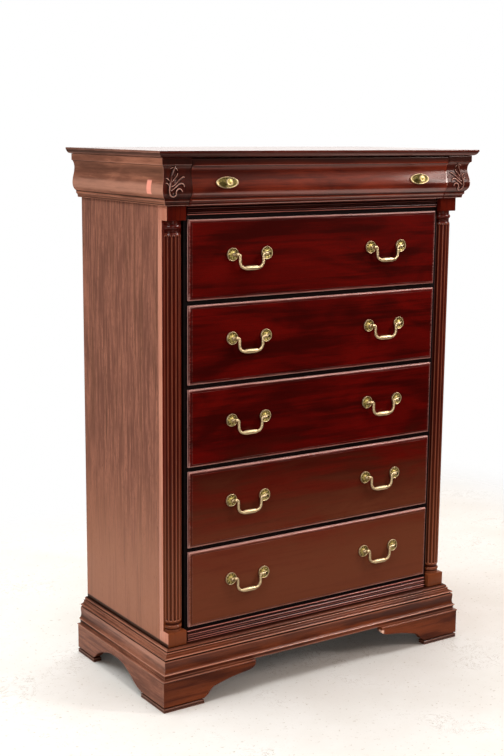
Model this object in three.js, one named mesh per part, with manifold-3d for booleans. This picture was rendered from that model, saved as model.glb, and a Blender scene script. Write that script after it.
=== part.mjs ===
// Tall mahogany chest of drawers with a moulded cornice, fluted corner columns,
// one hidden frieze drawer, five lipped drawers, brass bail pulls and bracket feet.
// Millimetres, +Z up, front towards -Y, origin on the floor under the middle of the chest.

import * as THREE from 'three';
import { mergeVertices } from 'three/addons/utils/BufferGeometryUtils.js';
import Module from 'manifold-3d';

const wasm = await Module();
wasm.setup();

// Whole chest
const CHEST_HEIGHT = 1400;
const CASE_WIDTH = 914;
const CASE_DEPTH = 453;

// Clearances
const SEAT_GAP = 0.3;
const REVEAL = 0.8;
const SLIDE_CLEARANCE = 1.5;
const LIP_CLEARANCE = 0.5;
const BORE_CLEARANCE = 0.5;
const JOIN_LAP = 1;
const CUT_OVERRUN = 5;
const WELD_TOLERANCE = 0.0001;

// Top board
const TOP_THICKNESS = 16;
const TOP_OVERHANG = 42;
const TOP_REAR_OVERHANG = 5;

// Cornice round the frieze
const CORNICE_HEIGHT = 114;
const CORNICE_PROJECTION = 28;

// Case boards
const PANEL_THICKNESS = 19;
const BACK_THICKNESS = 8;
const BACK_INSET = 2;

// Corner posts, each with a square block at both ends and an engaged half column between them
const POST_WIDTH = 54;
const POST_DEPTH = 45;
const COLUMN_BED_DEPTH = 25;
const COLUMN_AXIS_INSET = 27;
const LOWER_BLOCK_HEIGHT = 36.5;
const UPPER_BLOCK_HEIGHT = 36;
const SHAFT_RADIUS = 23.5;
const COLUMN_BASE_HEIGHT = 28;
const COLUMN_CAP_HEIGHT = 35;
const FLUTE_RADIUS = 4.3;
const FLUTE_DEPTH = 2.5;
const FLUTE_COUNT = 6;
const FLUTE_STEP = THREE.MathUtils.degToRad(26);

// Base moulding and bracket feet
const FOOT_HEIGHT = 85;
const BASE_MOULDING_HEIGHT = 73;
const BASE_PROJECTION = 27.3;
const BASE_RING_WIDTH = 40;
const FOOT_PROJECTION = 31;
const BRACKET_THICKNESS = 19;
const FRONT_BRACKET_REACH = 277;
const REAR_FOOT_REACH = 208;
const BACK_BRACKET_REACH = 160;
const PAD_HEIGHT = 11;
const PAD_NECK_HEIGHT = 4;
const PAD_GROOVE_DEPTH = 4.5;
const PAD_WIDTH = 24;
const GLUE_BLOCK_WIDTH = 34;

// Five lipped drawers
const DRAWER_COUNT = 5;
const DRAWER_GAP = 11.75;
const DRAWER_SIDE_GAP = 11;
const LOWEST_DRAWER_RISE = 39.5;
const HIGHEST_DRAWER_DROP = 35.5;
const FRONT_RECESS = 5;
const LIP_THICKNESS = 9;
const LIP_OVERLAP_SIDE = 6;
const LIP_OVERLAP_RAIL = 4.1;
const LIP_CHAMFER = 3;
const CORE_THICKNESS = 12;
const CORE_CLEARANCE = 1.5;
const DRAWER_BACK_CLEARANCE = 40.2;
const BOX_WALL = 12;
const BOX_BOTTOM = 8;
const BOX_TOP_CLEARANCE = 4;
const FRIEZE_TOP_GAP = 3;
const FRIEZE_BOX_CLEARANCE = 12;

// Frame of stiles, rails and dust boards that carries the drawers
const RAIL_HEIGHT = 20;
const RAIL_DEPTH = 60;
const DUST_BOARD_THICKNESS = 12;
const GUIDE_HEIGHT = 12;
const GUIDE_WIDTH = 12;
const BEADED_STRIP_PROJECTION = 5;
const BEADED_STRIP_END_GAP = 8;
const BEAD_RISE = 2.5;
const LOWER_STRIP_HEIGHT = 28.5;
const UPPER_STRIP_HEIGHT = 24;

// Brass bail pulls
const PULL_CENTRES = 102;
const PULL_FROM_END = 175;
const PULL_RISE = 10.5;
const ROSETTE_RADIUS = 16.5;
const ROSETTE_THICKNESS = 4.5;
const POST_NECK_RADIUS = 4.2;
const POST_HEAD_RADIUS = 5.5;
const POST_PROJECTION = 17;
const PIVOT_PROJECTION = 11;
const PIN_RADIUS = 2.4;
const PIN_REACH = 1.5;
const PIN_END_CLEARANCE = 1;
const BAIL_LEG_SPREAD = 70;
const BAIL_LEG_RADIUS = 3.3;
const BAIL_GRIP_RADIUS = 6;
const BAIL_DROP = 35;
const BAIL_ELBOW_RADIUS = 5;
const BAIL_CORNER_RADIUS = 13;

// Oval knobs on the frieze drawer
const KNOB_FROM_END = 100;
const KNOB_RISE = 53.5;
const OVAL_WIDTH = 64;
const OVAL_HEIGHT = 28;
const OVAL_THICKNESS = 3;
const KNOB_RADIUS = 9.5;
const KNOB_NECK_RADIUS = 4.5;
const KNOB_PROJECTION = 16;

// Outlines as shares: of projection and height for mouldings, of radius and height for turnings
const CORNICE_SHARES = [
  [0.39, 0], [0.39, 0.035], [0.46, 0.06], [0.55, 0.09], [0.57, 0.13], [0.62, 0.165], [0.75, 0.2],
  [0.87, 0.25], [0.93, 0.33], [0.92, 0.41], [0.85, 0.48], [0.77, 0.55], [0.72, 0.63], [0.72, 0.71],
  [0.77, 0.77], [0.86, 0.82], [0.88, 0.845], [1, 0.855], [1, 1],
];
const BASE_SHARES = [
  [0.99, 0], [1, 0.1], [0.9, 0.13], [0.82, 0.18], [0.77, 0.22], [0.7, 0.25], [0.67, 0.45], [0.7, 0.66],
  [0.75, 0.68], [0.77, 0.71], [0.73, 0.76], [0.52, 0.8], [0.38, 0.86], [0.33, 0.94], [0.24, 1],
];
const TOP_EDGE_SHARES = [
  [0.67, 0], [0.76, 0.06], [0.85, 0.18], [0.92, 0.36], [0.97, 0.6], [1, 0.88], [1, 1],
];
const COLUMN_BASE_SHARES = [
  [0.96, 0], [0.96, 0.22], [0.9, 0.28], [1, 0.36], [1.04, 0.5], [1, 0.64], [0.86, 0.72], [0.86, 0.86], [1, 1],
];
const COLUMN_CAP_SHARES = [
  [0.88, 0], [0.88, 0.3], [1, 0.36], [1.04, 0.48], [1, 0.6], [0.84, 0.66], [0.84, 0.86], [1, 1],
];
const FRONT_BRACKET_SHARES = [
  [0.43, 0.176], [0.45, 0.21], [0.473, 0.262], [0.509, 0.4], [0.549, 0.478], [0.7, 0.6], [0.8, 0.655],
  [0.93, 0.71], [0.975, 0.76], [1, 0.84],
];
const SIDE_BRACKET_SHARES = [
  [0.435, 0.176], [0.504, 0.23], [0.575, 0.33], [0.645, 0.47], [0.7, 0.553], [0.786, 0.67], [0.895, 0.715],
  [1, 0.72],
];
const REAR_BRACKET_SHARES = [
  [0.452, 0.176], [0.5, 0.26], [0.577, 0.41], [0.673, 0.53], [0.788, 0.62], [0.87, 0.69], [1, 0.72],
];
const BACK_BRACKET_SHARES = [
  [0.6, 0.176], [0.66, 0.35], [0.78, 0.55], [0.9, 0.66], [1, 0.76],
];
const BEAD_SHARES = [[0, 0.19], [1, 0.3], [0, 0.41], [0, 0.6], [1, 0.71], [0, 0.82]];
const ROSETTE_SHARES = [[1, 0], [1, 0.6], [0.93, 1], [0.84, 0.8], [0.6, 0.45], [0.36, 0.4]];
const OVAL_PLATE_SHARES = [[1, 0], [1, 0.6], [0.93, 1], [0.84, 0.7]];
const KNOB_SHARES = [[0.8, 0.45], [1, 0.62], [1, 0.8], [0.75, 1]];
const GRIP_SHARES = [[0, 0], [0.12, 0.35], [0.3, 0.85], [0.5, 1], [0.7, 0.85], [0.88, 0.35], [1, 0]];

const STATION_SHARE = 0.2;
const ROUNDING_SHARE = 0.000001;

// Steps round turned pieces
const COLUMN_STEPS = 28;
const FLUTE_STEPS = 12;
const FLUTE_CAP_STEPS = 3;
const BRASS_STEPS = 12;
const OVAL_STEPS = 20;
const BAIL_STEPS = 8;

// Levels and planes worked out from the sizes above
const HALF_WIDTH = CASE_WIDTH / 2;
const CASE_BOTTOM = FOOT_HEIGHT + BASE_MOULDING_HEIGHT;
const CORNICE_TOP = CHEST_HEIGHT - TOP_THICKNESS;
const CORNICE_BOTTOM = CORNICE_TOP - CORNICE_HEIGHT;
const CASE_TOP = CORNICE_TOP - SEAT_GAP;
const CASE_FLOOR = CASE_BOTTOM + SEAT_GAP;
const POST_INNER_X = HALF_WIDTH - POST_WIDTH;
const DRAWER_HALF_WIDTH = POST_INNER_X - DRAWER_SIDE_GAP;
const DRAWER_ROW_BOTTOM = CASE_BOTTOM + LOWEST_DRAWER_RISE;
const DRAWER_ROW_HEIGHT = CORNICE_BOTTOM - HIGHEST_DRAWER_DROP - DRAWER_ROW_BOTTOM;
const DRAWER_FRONT_HEIGHT = (DRAWER_ROW_HEIGHT - (DRAWER_COUNT - 1) * DRAWER_GAP) / DRAWER_COUNT;
const PANEL_INNER_X = HALF_WIDTH - PANEL_THICKNESS;
const LIP_BACK_Y = FRONT_RECESS + LIP_THICKNESS;
const FRAME_FRONT_Y = LIP_BACK_Y + LIP_CLEARANCE;
const CORE_BACK_Y = LIP_BACK_Y + CORE_THICKNESS;
const FRAME_BACK_Y = CASE_DEPTH - BACK_INSET - BACK_THICKNESS - SEAT_GAP;
const OPENING_HALF_WIDTH = DRAWER_HALF_WIDTH - LIP_OVERLAP_SIDE;
const BOX_HALF_WIDTH = OPENING_HALF_WIDTH - SLIDE_CLEARANCE;
const OPENING_HEIGHT = DRAWER_FRONT_HEIGHT - 2 * LIP_OVERLAP_RAIL;

// Materials
const mahogany = new THREE.MeshStandardMaterial({ color: 0x5a1a12, roughness: 0.32, metalness: 0 });
const sideMahogany = new THREE.MeshStandardMaterial({ color: 0x8a4d3a, roughness: 0.4, metalness: 0 });
const drawerWood = new THREE.MeshStandardMaterial({ color: 0xc09a68, roughness: 0.6, metalness: 0 });
const brass = new THREE.MeshStandardMaterial({ color: 0xb99c55, roughness: 0.28, metalness: 1 });

// Geometry helpers

function closed(geometry) {
  const bare = geometry.clone();
  bare.deleteAttribute('normal');
  bare.deleteAttribute('uv');
  const merged = mergeVertices(bare, WELD_TOLERANCE);
  return signedVolume(merged) < 0 ? flipped(merged) : merged;
}

function signedVolume(geometry) {
  const corners = [new THREE.Vector3(), new THREE.Vector3(), new THREE.Vector3()];
  const place = geometry.getAttribute('position');
  const index = geometry.getIndex();
  let volume = 0;
  for (let i = 0; i < index.count; i += 3) {
    corners.forEach((corner, k) => corner.fromBufferAttribute(place, index.getX(i + k)));
    volume += corners[0].dot(corners[1].clone().cross(corners[2])) / 6;
  }
  return volume;
}

function flipped(geometry) {
  const turned = geometry.clone();
  const index = turned.getIndex();
  for (let i = 0; i < index.count; i += 3) {
    const first = index.getX(i);
    index.setX(i, index.getX(i + 1));
    index.setX(i + 1, first);
  }
  return turned;
}

function solid(geometry) {
  const shell = closed(geometry);
  return new wasm.Manifold(new wasm.Mesh({
    numProp: 3,
    vertProperties: new Float32Array(shell.getAttribute('position').array),
    triVerts: new Uint32Array(shell.getIndex().array),
  }));
}

function surface(body) {
  const mesh = body.getMesh();
  const geometry = new THREE.BufferGeometry();
  geometry.setAttribute('position', new THREE.BufferAttribute(new Float32Array(mesh.vertProperties), 3));
  geometry.setIndex(new THREE.BufferAttribute(new Uint32Array(mesh.triVerts), 1));
  return geometry;
}

function joined(...geometries) {
  return surface(geometries.map(solid).reduce((whole, body) => whole.add(body)));
}

function cut(geometry, ...tools) {
  return surface(tools.map(solid).reduce((whole, body) => whole.subtract(body), solid(geometry)));
}

function shared(first, second) {
  return surface(solid(first).intersect(solid(second)));
}

function block(x0, x1, y0, y1, z0, z1) {
  const geometry = new THREE.BoxGeometry(x1 - x0, y1 - y0, z1 - z0);
  return geometry.translate((x0 + x1) / 2, (y0 + y1) / 2, (z0 + z1) / 2);
}

function outline(points) {
  return new THREE.Shape(points.map(([u, v]) => new THREE.Vector2(u, v)));
}

// The outline's two axes become two of the chest's axes, and it is pushed along the third
function extruded(points, uAxis, vAxis, start, length) {
  const along = new THREE.Vector3().crossVectors(uAxis, vAxis);
  const geometry = new THREE.ExtrudeGeometry(outline(points), { depth: length, bevelEnabled: false });
  geometry.translate(0, 0, start);
  return geometry.applyMatrix4(new THREE.Matrix4().makeBasis(uAxis, vAxis, along));
}

const X = new THREE.Vector3(1, 0, 0);
const Y = new THREE.Vector3(0, 1, 0);
const Z = new THREE.Vector3(0, 0, 1);

// Outline in Y and Z, from x0 to x1
function alongX(points, x0, x1) {
  return extruded(points, Y, Z, x0, x1 - x0);
}

// Outline in X and Z, from y0 to y1
function alongY(points, y0, y1) {
  return extruded(points, X, Z, -y1, y1 - y0);
}

// Outline in X and Y, from z0 to z1
function alongZ(points, z0, z1) {
  return extruded(points, X, Y, z0, z1 - z0);
}

function mirrored(geometry) {
  return closed(geometry).applyMatrix4(new THREE.Matrix4().makeScale(-1, 1, 1));
}

// Turned about the vertical axis through the origin, from radius and height pairs
function turned(points, steps) {
  const profile = points.map(([radius, height]) => new THREE.Vector2(radius, height));
  return new THREE.LatheGeometry(profile, steps).rotateX(Math.PI / 2);
}

// Turned about the Y axis, with the heights running towards the front
function turnedToFront(points, steps) {
  const profile = points.map(([radius, height]) => new THREE.Vector2(radius, height));
  return new THREE.LatheGeometry(profile, steps).rotateX(Math.PI);
}

// Moulding profile as projection and height pairs
function profileOf(shares, projection, bottom, height) {
  return shares.map(([out, up]) => [out * projection, bottom + up * height]);
}

// Moulding run along one side of the case, mitred at its start or its end where that is 1
function mouldingRun(profile, backing, outward, corner, length, startMitre, endMitre) {
  const lowest = profile[0][1];
  const highest = profile[profile.length - 1][1];
  const section = [[backing, lowest], ...profile, [backing, highest]];
  const geometry = new THREE.ExtrudeGeometry(outline(section), { depth: length, bevelEnabled: false });
  const place = geometry.getAttribute('position');
  for (let i = 0; i < place.count; i += 1) {
    const atStart = place.getZ(i) < length / 2;
    const shift = atStart ? -startMitre * place.getX(i) : endMitre * place.getX(i);
    place.setZ(i, place.getZ(i) + shift);
  }
  const along = new THREE.Vector3().crossVectors(outward, Z);
  geometry.applyMatrix4(new THREE.Matrix4().makeBasis(outward, Z, along));
  return geometry.translate(corner.x, corner.y, corner.z);
}

// Slab with the same moulded edge on its front and both ends and a square back
function edgedSlab(profile, backY) {
  const lowest = profile[0][1];
  const highest = profile[profile.length - 1][1];
  const frontEdge = profile.map(([out, z]) => [-out, z]);
  const endEdge = profile.map(([out, z]) => [HALF_WIDTH + out, z]);
  const otherEdge = endEdge.map(([x, z]) => [-x, z]).reverse();
  const reach = HALF_WIDTH + Math.max(...profile.map(([out]) => out)) + CUT_OVERRUN;
  const front = Math.max(...profile.map(([out]) => out)) + CUT_OVERRUN;
  const lengthwise = alongX([[backY, lowest], ...frontEdge, [backY, highest]], -reach, reach);
  const crosswise = alongY([...endEdge, ...otherEdge], -front, backY + CUT_OVERRUN);
  return shared(lengthwise, crosswise);
}

// Pieces of the chest

const chest = new THREE.Group();

function addPiece(parent, name, geometry, material) {
  const mesh = new THREE.Mesh(closed(geometry), material);
  mesh.name = name;
  parent.add(mesh);
  return mesh;
}

function topBoard() {
  const profile = profileOf(TOP_EDGE_SHARES, TOP_OVERHANG, CORNICE_TOP, TOP_THICKNESS);
  return edgedSlab(profile, CASE_DEPTH + TOP_REAR_OVERHANG);
}

function corniceProfile() {
  const bottom = CORNICE_BOTTOM + SEAT_GAP;
  return profileOf(CORNICE_SHARES, CORNICE_PROJECTION, bottom, CASE_TOP - bottom);
}

// Right-hand cornice run, from the back of the case to the mitre at the front corner
function sideCornice() {
  const corner = new THREE.Vector3(HALF_WIDTH, CASE_DEPTH, 0);
  return mouldingRun(corniceProfile(), SEAT_GAP, X, corner, CASE_DEPTH - SEAT_GAP, 0, 1);
}

// Right-hand block over the column, from the corner mitre to the end of the frieze drawer
function carvedBlock() {
  const corner = new THREE.Vector3(HALF_WIDTH, 0, 0);
  const towardsFront = Y.clone().negate();
  return mouldingRun(corniceProfile(), SEAT_GAP, towardsFront, corner, POST_WIDTH, 1, 0);
}

function sidePanel() {
  return block(PANEL_INNER_X, HALF_WIDTH, POST_DEPTH + SEAT_GAP, CASE_DEPTH, CASE_FLOOR, CASE_TOP);
}

function backPanel() {
  const edge = PANEL_INNER_X - SEAT_GAP;
  const rear = CASE_DEPTH - BACK_INSET;
  return block(-edge, edge, rear - BACK_THICKNESS, rear, CASE_FLOOR, CASE_TOP);
}

// Right-hand corner post with its half column
function cornerPost() {
  const axisX = HALF_WIDTH - COLUMN_AXIS_INSET;
  const blockTop = CASE_FLOOR + LOWER_BLOCK_HEIGHT;
  const blockBottom = CORNICE_BOTTOM - UPPER_BLOCK_HEIGHT;
  const baseEnd = blockTop + COLUMN_BASE_HEIGHT;
  const capStart = blockBottom - COLUMN_CAP_HEIGHT;
  const basePoints = profileOf(COLUMN_BASE_SHARES, SHAFT_RADIUS, blockTop, COLUMN_BASE_HEIGHT);
  const capPoints = profileOf(COLUMN_CAP_SHARES, SHAFT_RADIUS, blockBottom, -COLUMN_CAP_HEIGHT);
  const profile = [
    [0, blockTop - JOIN_LAP],
    [basePoints[0][0], blockTop - JOIN_LAP],
    ...basePoints,
    ...capPoints.reverse(),
    [capPoints[capPoints.length - 1][0], blockBottom + JOIN_LAP],
    [0, blockBottom + JOIN_LAP],
  ];
  const round = turned(profile, COLUMN_STEPS).translate(axisX, COLUMN_AXIS_INSET, 0);
  const behind = block(POST_INNER_X - CUT_OVERRUN, HALF_WIDTH + CUT_OVERRUN, COLUMN_BED_DEPTH + JOIN_LAP,
    COLUMN_AXIS_INSET + CASE_DEPTH, CASE_FLOOR, CASE_TOP);
  const column = cut(round, behind, ...flutes(axisX, baseEnd, capStart));
  const bed = block(POST_INNER_X, HALF_WIDTH, COLUMN_BED_DEPTH, POST_DEPTH, CASE_FLOOR, CASE_TOP);
  const lower = block(POST_INNER_X, HALF_WIDTH, 0, POST_DEPTH, CASE_FLOOR, blockTop);
  const upper = block(POST_INNER_X, HALF_WIDTH, 0, POST_DEPTH, blockBottom, CASE_TOP);
  return joined(bed, lower, upper, column);
}

function flutes(axisX, bottom, top) {
  const length = top - bottom - 2 * FLUTE_RADIUS;
  const ring = SHAFT_RADIUS + FLUTE_RADIUS - FLUTE_DEPTH;
  const tools = [];
  for (let i = 0; i < FLUTE_COUNT; i += 1) {
    const angle = (i - (FLUTE_COUNT - 1) / 2) * FLUTE_STEP;
    const flute = new THREE.CapsuleGeometry(FLUTE_RADIUS, length, FLUTE_CAP_STEPS, FLUTE_STEPS);
    const x = axisX + ring * Math.sin(angle);
    const y = COLUMN_AXIS_INSET - ring * Math.cos(angle);
    tools.push(flute.rotateX(Math.PI / 2).translate(x, y, (bottom + top) / 2));
  }
  return tools;
}

function baseMoulding() {
  const profile = profileOf(BASE_SHARES, BASE_PROJECTION, FOOT_HEIGHT, BASE_MOULDING_HEIGHT);
  const inner = HALF_WIDTH - BASE_RING_WIDTH;
  const well = block(-inner, inner, BASE_RING_WIDTH, CASE_DEPTH - BASE_RING_WIDTH,
    FOOT_HEIGHT - CUT_OVERRUN, CASE_BOTTOM + CUT_OVERRUN);
  return cut(edgedSlab(profile, CASE_DEPTH), well);
}

// Bracket outline from the foot's corner along one face, as distance and height
function bracketOutline(shares, reach) {
  const top = FOOT_HEIGHT - SEAT_GAP;
  const neck = PAD_HEIGHT + PAD_NECK_HEIGHT;
  const lower = shares.map(([out, up]) => [out * reach, Math.max(up * FOOT_HEIGHT, neck)]);
  return [[0, top], [0, neck], ...lower, [reach, top]];
}

// Flat L on the floor plan, with its outer corner at the origin and arms along +X and +Y
function angleShape(armX, armY, width, inset) {
  return [
    [inset, inset], [armX - inset, inset], [armX - inset, width], [width, width],
    [width, armY - inset], [inset, armY - inset],
  ];
}

// Foot with its outer corner at the origin, one bracket along +X and one along +Y
function foot(xShares, xReach, yShares, yReach) {
  const top = FOOT_HEIGHT - SEAT_GAP;
  const neckTop = PAD_HEIGHT + PAD_NECK_HEIGHT;
  const padX = xShares[0][0] * xReach;
  const padY = yShares[0][0] * yReach;
  const xBracket = alongY(bracketOutline(xShares, xReach), 0, BRACKET_THICKNESS);
  const yBracket = alongX(bracketOutline(yShares, yReach), 0, BRACKET_THICKNESS);
  const glueBlock = block(BRACKET_THICKNESS - JOIN_LAP, BRACKET_THICKNESS + GLUE_BLOCK_WIDTH,
    BRACKET_THICKNESS - JOIN_LAP, BRACKET_THICKNESS + GLUE_BLOCK_WIDTH, PAD_HEIGHT, top);
  const neckShape = angleShape(padX, padY, PAD_WIDTH, PAD_GROOVE_DEPTH);
  const neck = alongZ(neckShape, PAD_HEIGHT - JOIN_LAP, neckTop + JOIN_LAP);
  const pad = alongZ(angleShape(padX, padY, PAD_WIDTH, 0), 0, PAD_HEIGHT);
  return joined(xBracket, yBracket, glueBlock, neck, pad);
}

// Front foot on the left, then on the right by mirroring
function frontFoot() {
  const cornerX = -HALF_WIDTH - FOOT_PROJECTION;
  const sideReach = CASE_DEPTH + FOOT_PROJECTION - REAR_FOOT_REACH - SEAT_GAP;
  const shape = foot(FRONT_BRACKET_SHARES, FRONT_BRACKET_REACH, SIDE_BRACKET_SHARES, sideReach);
  return shape.translate(cornerX, -FOOT_PROJECTION, 0);
}

function rearFoot() {
  const cornerX = -HALF_WIDTH - FOOT_PROJECTION;
  const shape = foot(BACK_BRACKET_SHARES, BACK_BRACKET_REACH, REAR_BRACKET_SHARES, REAR_FOOT_REACH);
  const turnedRound = closed(shape).applyMatrix4(new THREE.Matrix4().makeScale(1, -1, 1));
  return turnedRound.translate(cornerX, CASE_DEPTH, 0);
}

// Drawer levels, counted from the top drawer down
function drawerBottom(number) {
  return DRAWER_ROW_BOTTOM + (DRAWER_COUNT - number) * (DRAWER_FRONT_HEIGHT + DRAWER_GAP);
}

function openingBottom(number) {
  return drawerBottom(number) + LIP_OVERLAP_RAIL;
}

// One level of the frame: a front rail, a dust board flush with its top, and two drawer guides
function frameLevel(bottom, top) {
  const edge = PANEL_INNER_X - SEAT_GAP;
  const stile = POST_INNER_X - SEAT_GAP;
  const boardFront = POST_DEPTH + SEAT_GAP;
  const guideFront = FRAME_FRONT_Y + JOIN_LAP;
  const pieces = [
    block(-stile, stile, FRAME_FRONT_Y, FRAME_FRONT_Y + RAIL_DEPTH, bottom, top),
    block(-edge, edge, boardFront, FRAME_BACK_Y, top - DUST_BOARD_THICKNESS, top),
  ];
  for (const side of [-1, 1]) {
    const guide = [side * OPENING_HALF_WIDTH, side * (OPENING_HALF_WIDTH + GUIDE_WIDTH)];
    const [near, far] = guide.sort((a, b) => a - b);
    pieces.push(block(near, far, guideFront, FRAME_BACK_Y, top - JOIN_LAP, top + GUIDE_HEIGHT));
  }
  return pieces;
}

// Strip with two beads on the face of the top and bottom rails
function beadedStrip(bottom, height) {
  const face = FRAME_FRONT_Y - BEADED_STRIP_PROJECTION;
  const beads = BEAD_SHARES.map(([rise, up]) => [face - rise * BEAD_RISE, bottom + up * height]);
  const back = FRAME_FRONT_Y + JOIN_LAP;
  const half = POST_INNER_X - BEADED_STRIP_END_GAP;
  const top = bottom + height;
  const section = [[back, bottom], [face, bottom], ...beads, [face, top], [back, top]];
  return alongX(section, -half, half);
}

function drawerFrame() {
  const stileOuter = POST_INNER_X - SEAT_GAP;
  const stileBack = FRAME_FRONT_Y + RAIL_DEPTH;
  const pieces = [];
  for (let number = 1; number < DRAWER_COUNT; number += 1) {
    pieces.push(...frameLevel(openingBottom(number) - RAIL_HEIGHT, openingBottom(number)));
  }
  pieces.push(...frameLevel(CASE_FLOOR, openingBottom(DRAWER_COUNT)));
  pieces.push(...frameLevel(openingBottom(1) + OPENING_HEIGHT, CORNICE_BOTTOM));
  pieces.push(block(-stileOuter, -OPENING_HALF_WIDTH, FRAME_FRONT_Y, stileBack, CASE_FLOOR, CASE_TOP));
  pieces.push(block(OPENING_HALF_WIDTH, stileOuter, FRAME_FRONT_Y, stileBack, CASE_FLOOR, CASE_TOP));
  pieces.push(beadedStrip(CASE_FLOOR, LOWER_STRIP_HEIGHT));
  pieces.push(beadedStrip(CORNICE_BOTTOM - UPPER_STRIP_HEIGHT, UPPER_STRIP_HEIGHT));
  return joined(...pieces);
}

// Drawer front with a chamfered lip and a core that fits the opening
function lippedSection(low, high, coreLow, coreHigh) {
  return [
    [FRONT_RECESS, low + LIP_CHAMFER], [FRONT_RECESS, high - LIP_CHAMFER], [FRONT_RECESS + LIP_CHAMFER, high],
    [LIP_BACK_Y, high], [LIP_BACK_Y, coreHigh], [CORE_BACK_Y, coreHigh], [CORE_BACK_Y, coreLow],
    [LIP_BACK_Y, coreLow], [LIP_BACK_Y, low], [FRONT_RECESS + LIP_CHAMFER, low],
  ];
}

function drawerFront(number) {
  const low = drawerBottom(number);
  const high = low + DRAWER_FRONT_HEIGHT;
  const coreLow = openingBottom(number) + CORE_CLEARANCE;
  const coreHigh = openingBottom(number) + OPENING_HEIGHT - CORE_CLEARANCE;
  const half = DRAWER_HALF_WIDTH;
  const upright = lippedSection(low, high, coreLow, coreHigh);
  const level = lippedSection(-half, half, -BOX_HALF_WIDTH, BOX_HALF_WIDTH).map(([y, x]) => [x, y]);
  const lengthwise = alongX(upright, -half - CUT_OVERRUN, half + CUT_OVERRUN);
  return shared(lengthwise, alongZ(level, low - CUT_OVERRUN, high + CUT_OVERRUN));
}

// Frieze drawer front, shaped to the cornice so that the drawer is hidden
function friezeFront() {
  const low = CORNICE_BOTTOM + REVEAL;
  const high = CORNICE_TOP - FRIEZE_TOP_GAP;
  const face = friezeFace().map(([out, z]) => [-out, z]);
  const coreLow = low + CORE_CLEARANCE;
  const coreHigh = high - CORE_CLEARANCE;
  const section = [
    [LIP_BACK_Y, low], ...face, [LIP_BACK_Y, high], [LIP_BACK_Y, coreHigh],
    [CORE_BACK_Y, coreHigh], [CORE_BACK_Y, coreLow], [LIP_BACK_Y, coreLow],
  ];
  const half = POST_INNER_X - REVEAL;
  const plan = [
    [-half, -TOP_OVERHANG], [half, -TOP_OVERHANG], [half, LIP_BACK_Y], [BOX_HALF_WIDTH, LIP_BACK_Y],
    [BOX_HALF_WIDTH, CORE_BACK_Y], [-BOX_HALF_WIDTH, CORE_BACK_Y], [-BOX_HALF_WIDTH, LIP_BACK_Y],
    [-half, LIP_BACK_Y],
  ];
  const lengthwise = alongX(section, -half - CUT_OVERRUN, half + CUT_OVERRUN);
  return shared(lengthwise, alongZ(plan, low - CUT_OVERRUN, high + CUT_OVERRUN));
}

// Open box of two sides, a back and a bottom, behind a drawer front
function drawerBox(bottom, top) {
  const front = CORE_BACK_Y + SEAT_GAP;
  const back = FRAME_BACK_Y - DRAWER_BACK_CLEARANCE;
  const inner = BOX_HALF_WIDTH - BOX_WALL;
  const outer = block(-BOX_HALF_WIDTH, BOX_HALF_WIDTH, front, back, bottom, top);
  const floor = bottom + BOX_BOTTOM;
  return cut(outer, block(-inner, inner, front - CUT_OVERRUN, back - BOX_WALL, floor, top + CUT_OVERRUN));
}

// Dished rosette with its post, bored from one side for the bail's pin; the post's axis is at x = 0, z = 0
function rosette(boreSide) {
  const plate = ROSETTE_SHARES.map(([r, h]) => [r * ROSETTE_RADIUS, SEAT_GAP + h * ROSETTE_THICKNESS]);
  const boreRadius = PIN_RADIUS + BORE_CLEARANCE;
  const dish = plate[plate.length - 1][1];
  const profile = [
    [0, SEAT_GAP], ...plate, [POST_NECK_RADIUS, dish],
    [POST_NECK_RADIUS, PIVOT_PROJECTION - POST_HEAD_RADIUS],
    [POST_HEAD_RADIUS, PIVOT_PROJECTION - boreRadius], [POST_HEAD_RADIUS, PIVOT_PROJECTION + boreRadius],
    [0, POST_PROJECTION],
  ];
  const length = POST_HEAD_RADIUS + CUT_OVERRUN + PIN_REACH + PIN_END_CLEARANCE;
  const bore = new THREE.CylinderGeometry(boreRadius, boreRadius, length, BRASS_STEPS).rotateZ(Math.PI / 2);
  bore.translate(boreSide * (length / 2 - PIN_REACH - PIN_END_CLEARANCE), -PIVOT_PROJECTION, 0);
  return cut(turnedToFront(profile, BRASS_STEPS), bore);
}

// Bail in its own frame: the pivot line is the X axis and the grip hangs below it
function bail() {
  const pinEnd = PULL_CENTRES / 2 + PIN_REACH;
  const leg = BAIL_LEG_SPREAD / 2;
  const elbow = BAIL_ELBOW_RADIUS;
  const corner = BAIL_CORNER_RADIUS;
  const gripHalf = leg - corner;
  const path = new THREE.Path();
  path.moveTo(-pinEnd, 0);
  path.lineTo(-leg - elbow, 0);
  path.absarc(-leg - elbow, -elbow, elbow, Math.PI / 2, 0, true);
  path.lineTo(-leg, -BAIL_DROP + corner);
  path.absarc(-gripHalf, -BAIL_DROP + corner, corner, Math.PI, 1.5 * Math.PI, false);
  GRIP_SHARES.slice(1).forEach(([along]) => path.lineTo(gripHalf * (2 * along - 1), -BAIL_DROP));
  path.absarc(gripHalf, -BAIL_DROP + corner, corner, 1.5 * Math.PI, 2 * Math.PI, false);
  path.lineTo(leg, -elbow);
  path.absarc(leg + elbow, -elbow, elbow, Math.PI, Math.PI / 2, true);
  path.lineTo(pinEnd, 0);
  return bentRod(path.getPoints(1), bailRadius);
}

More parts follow.
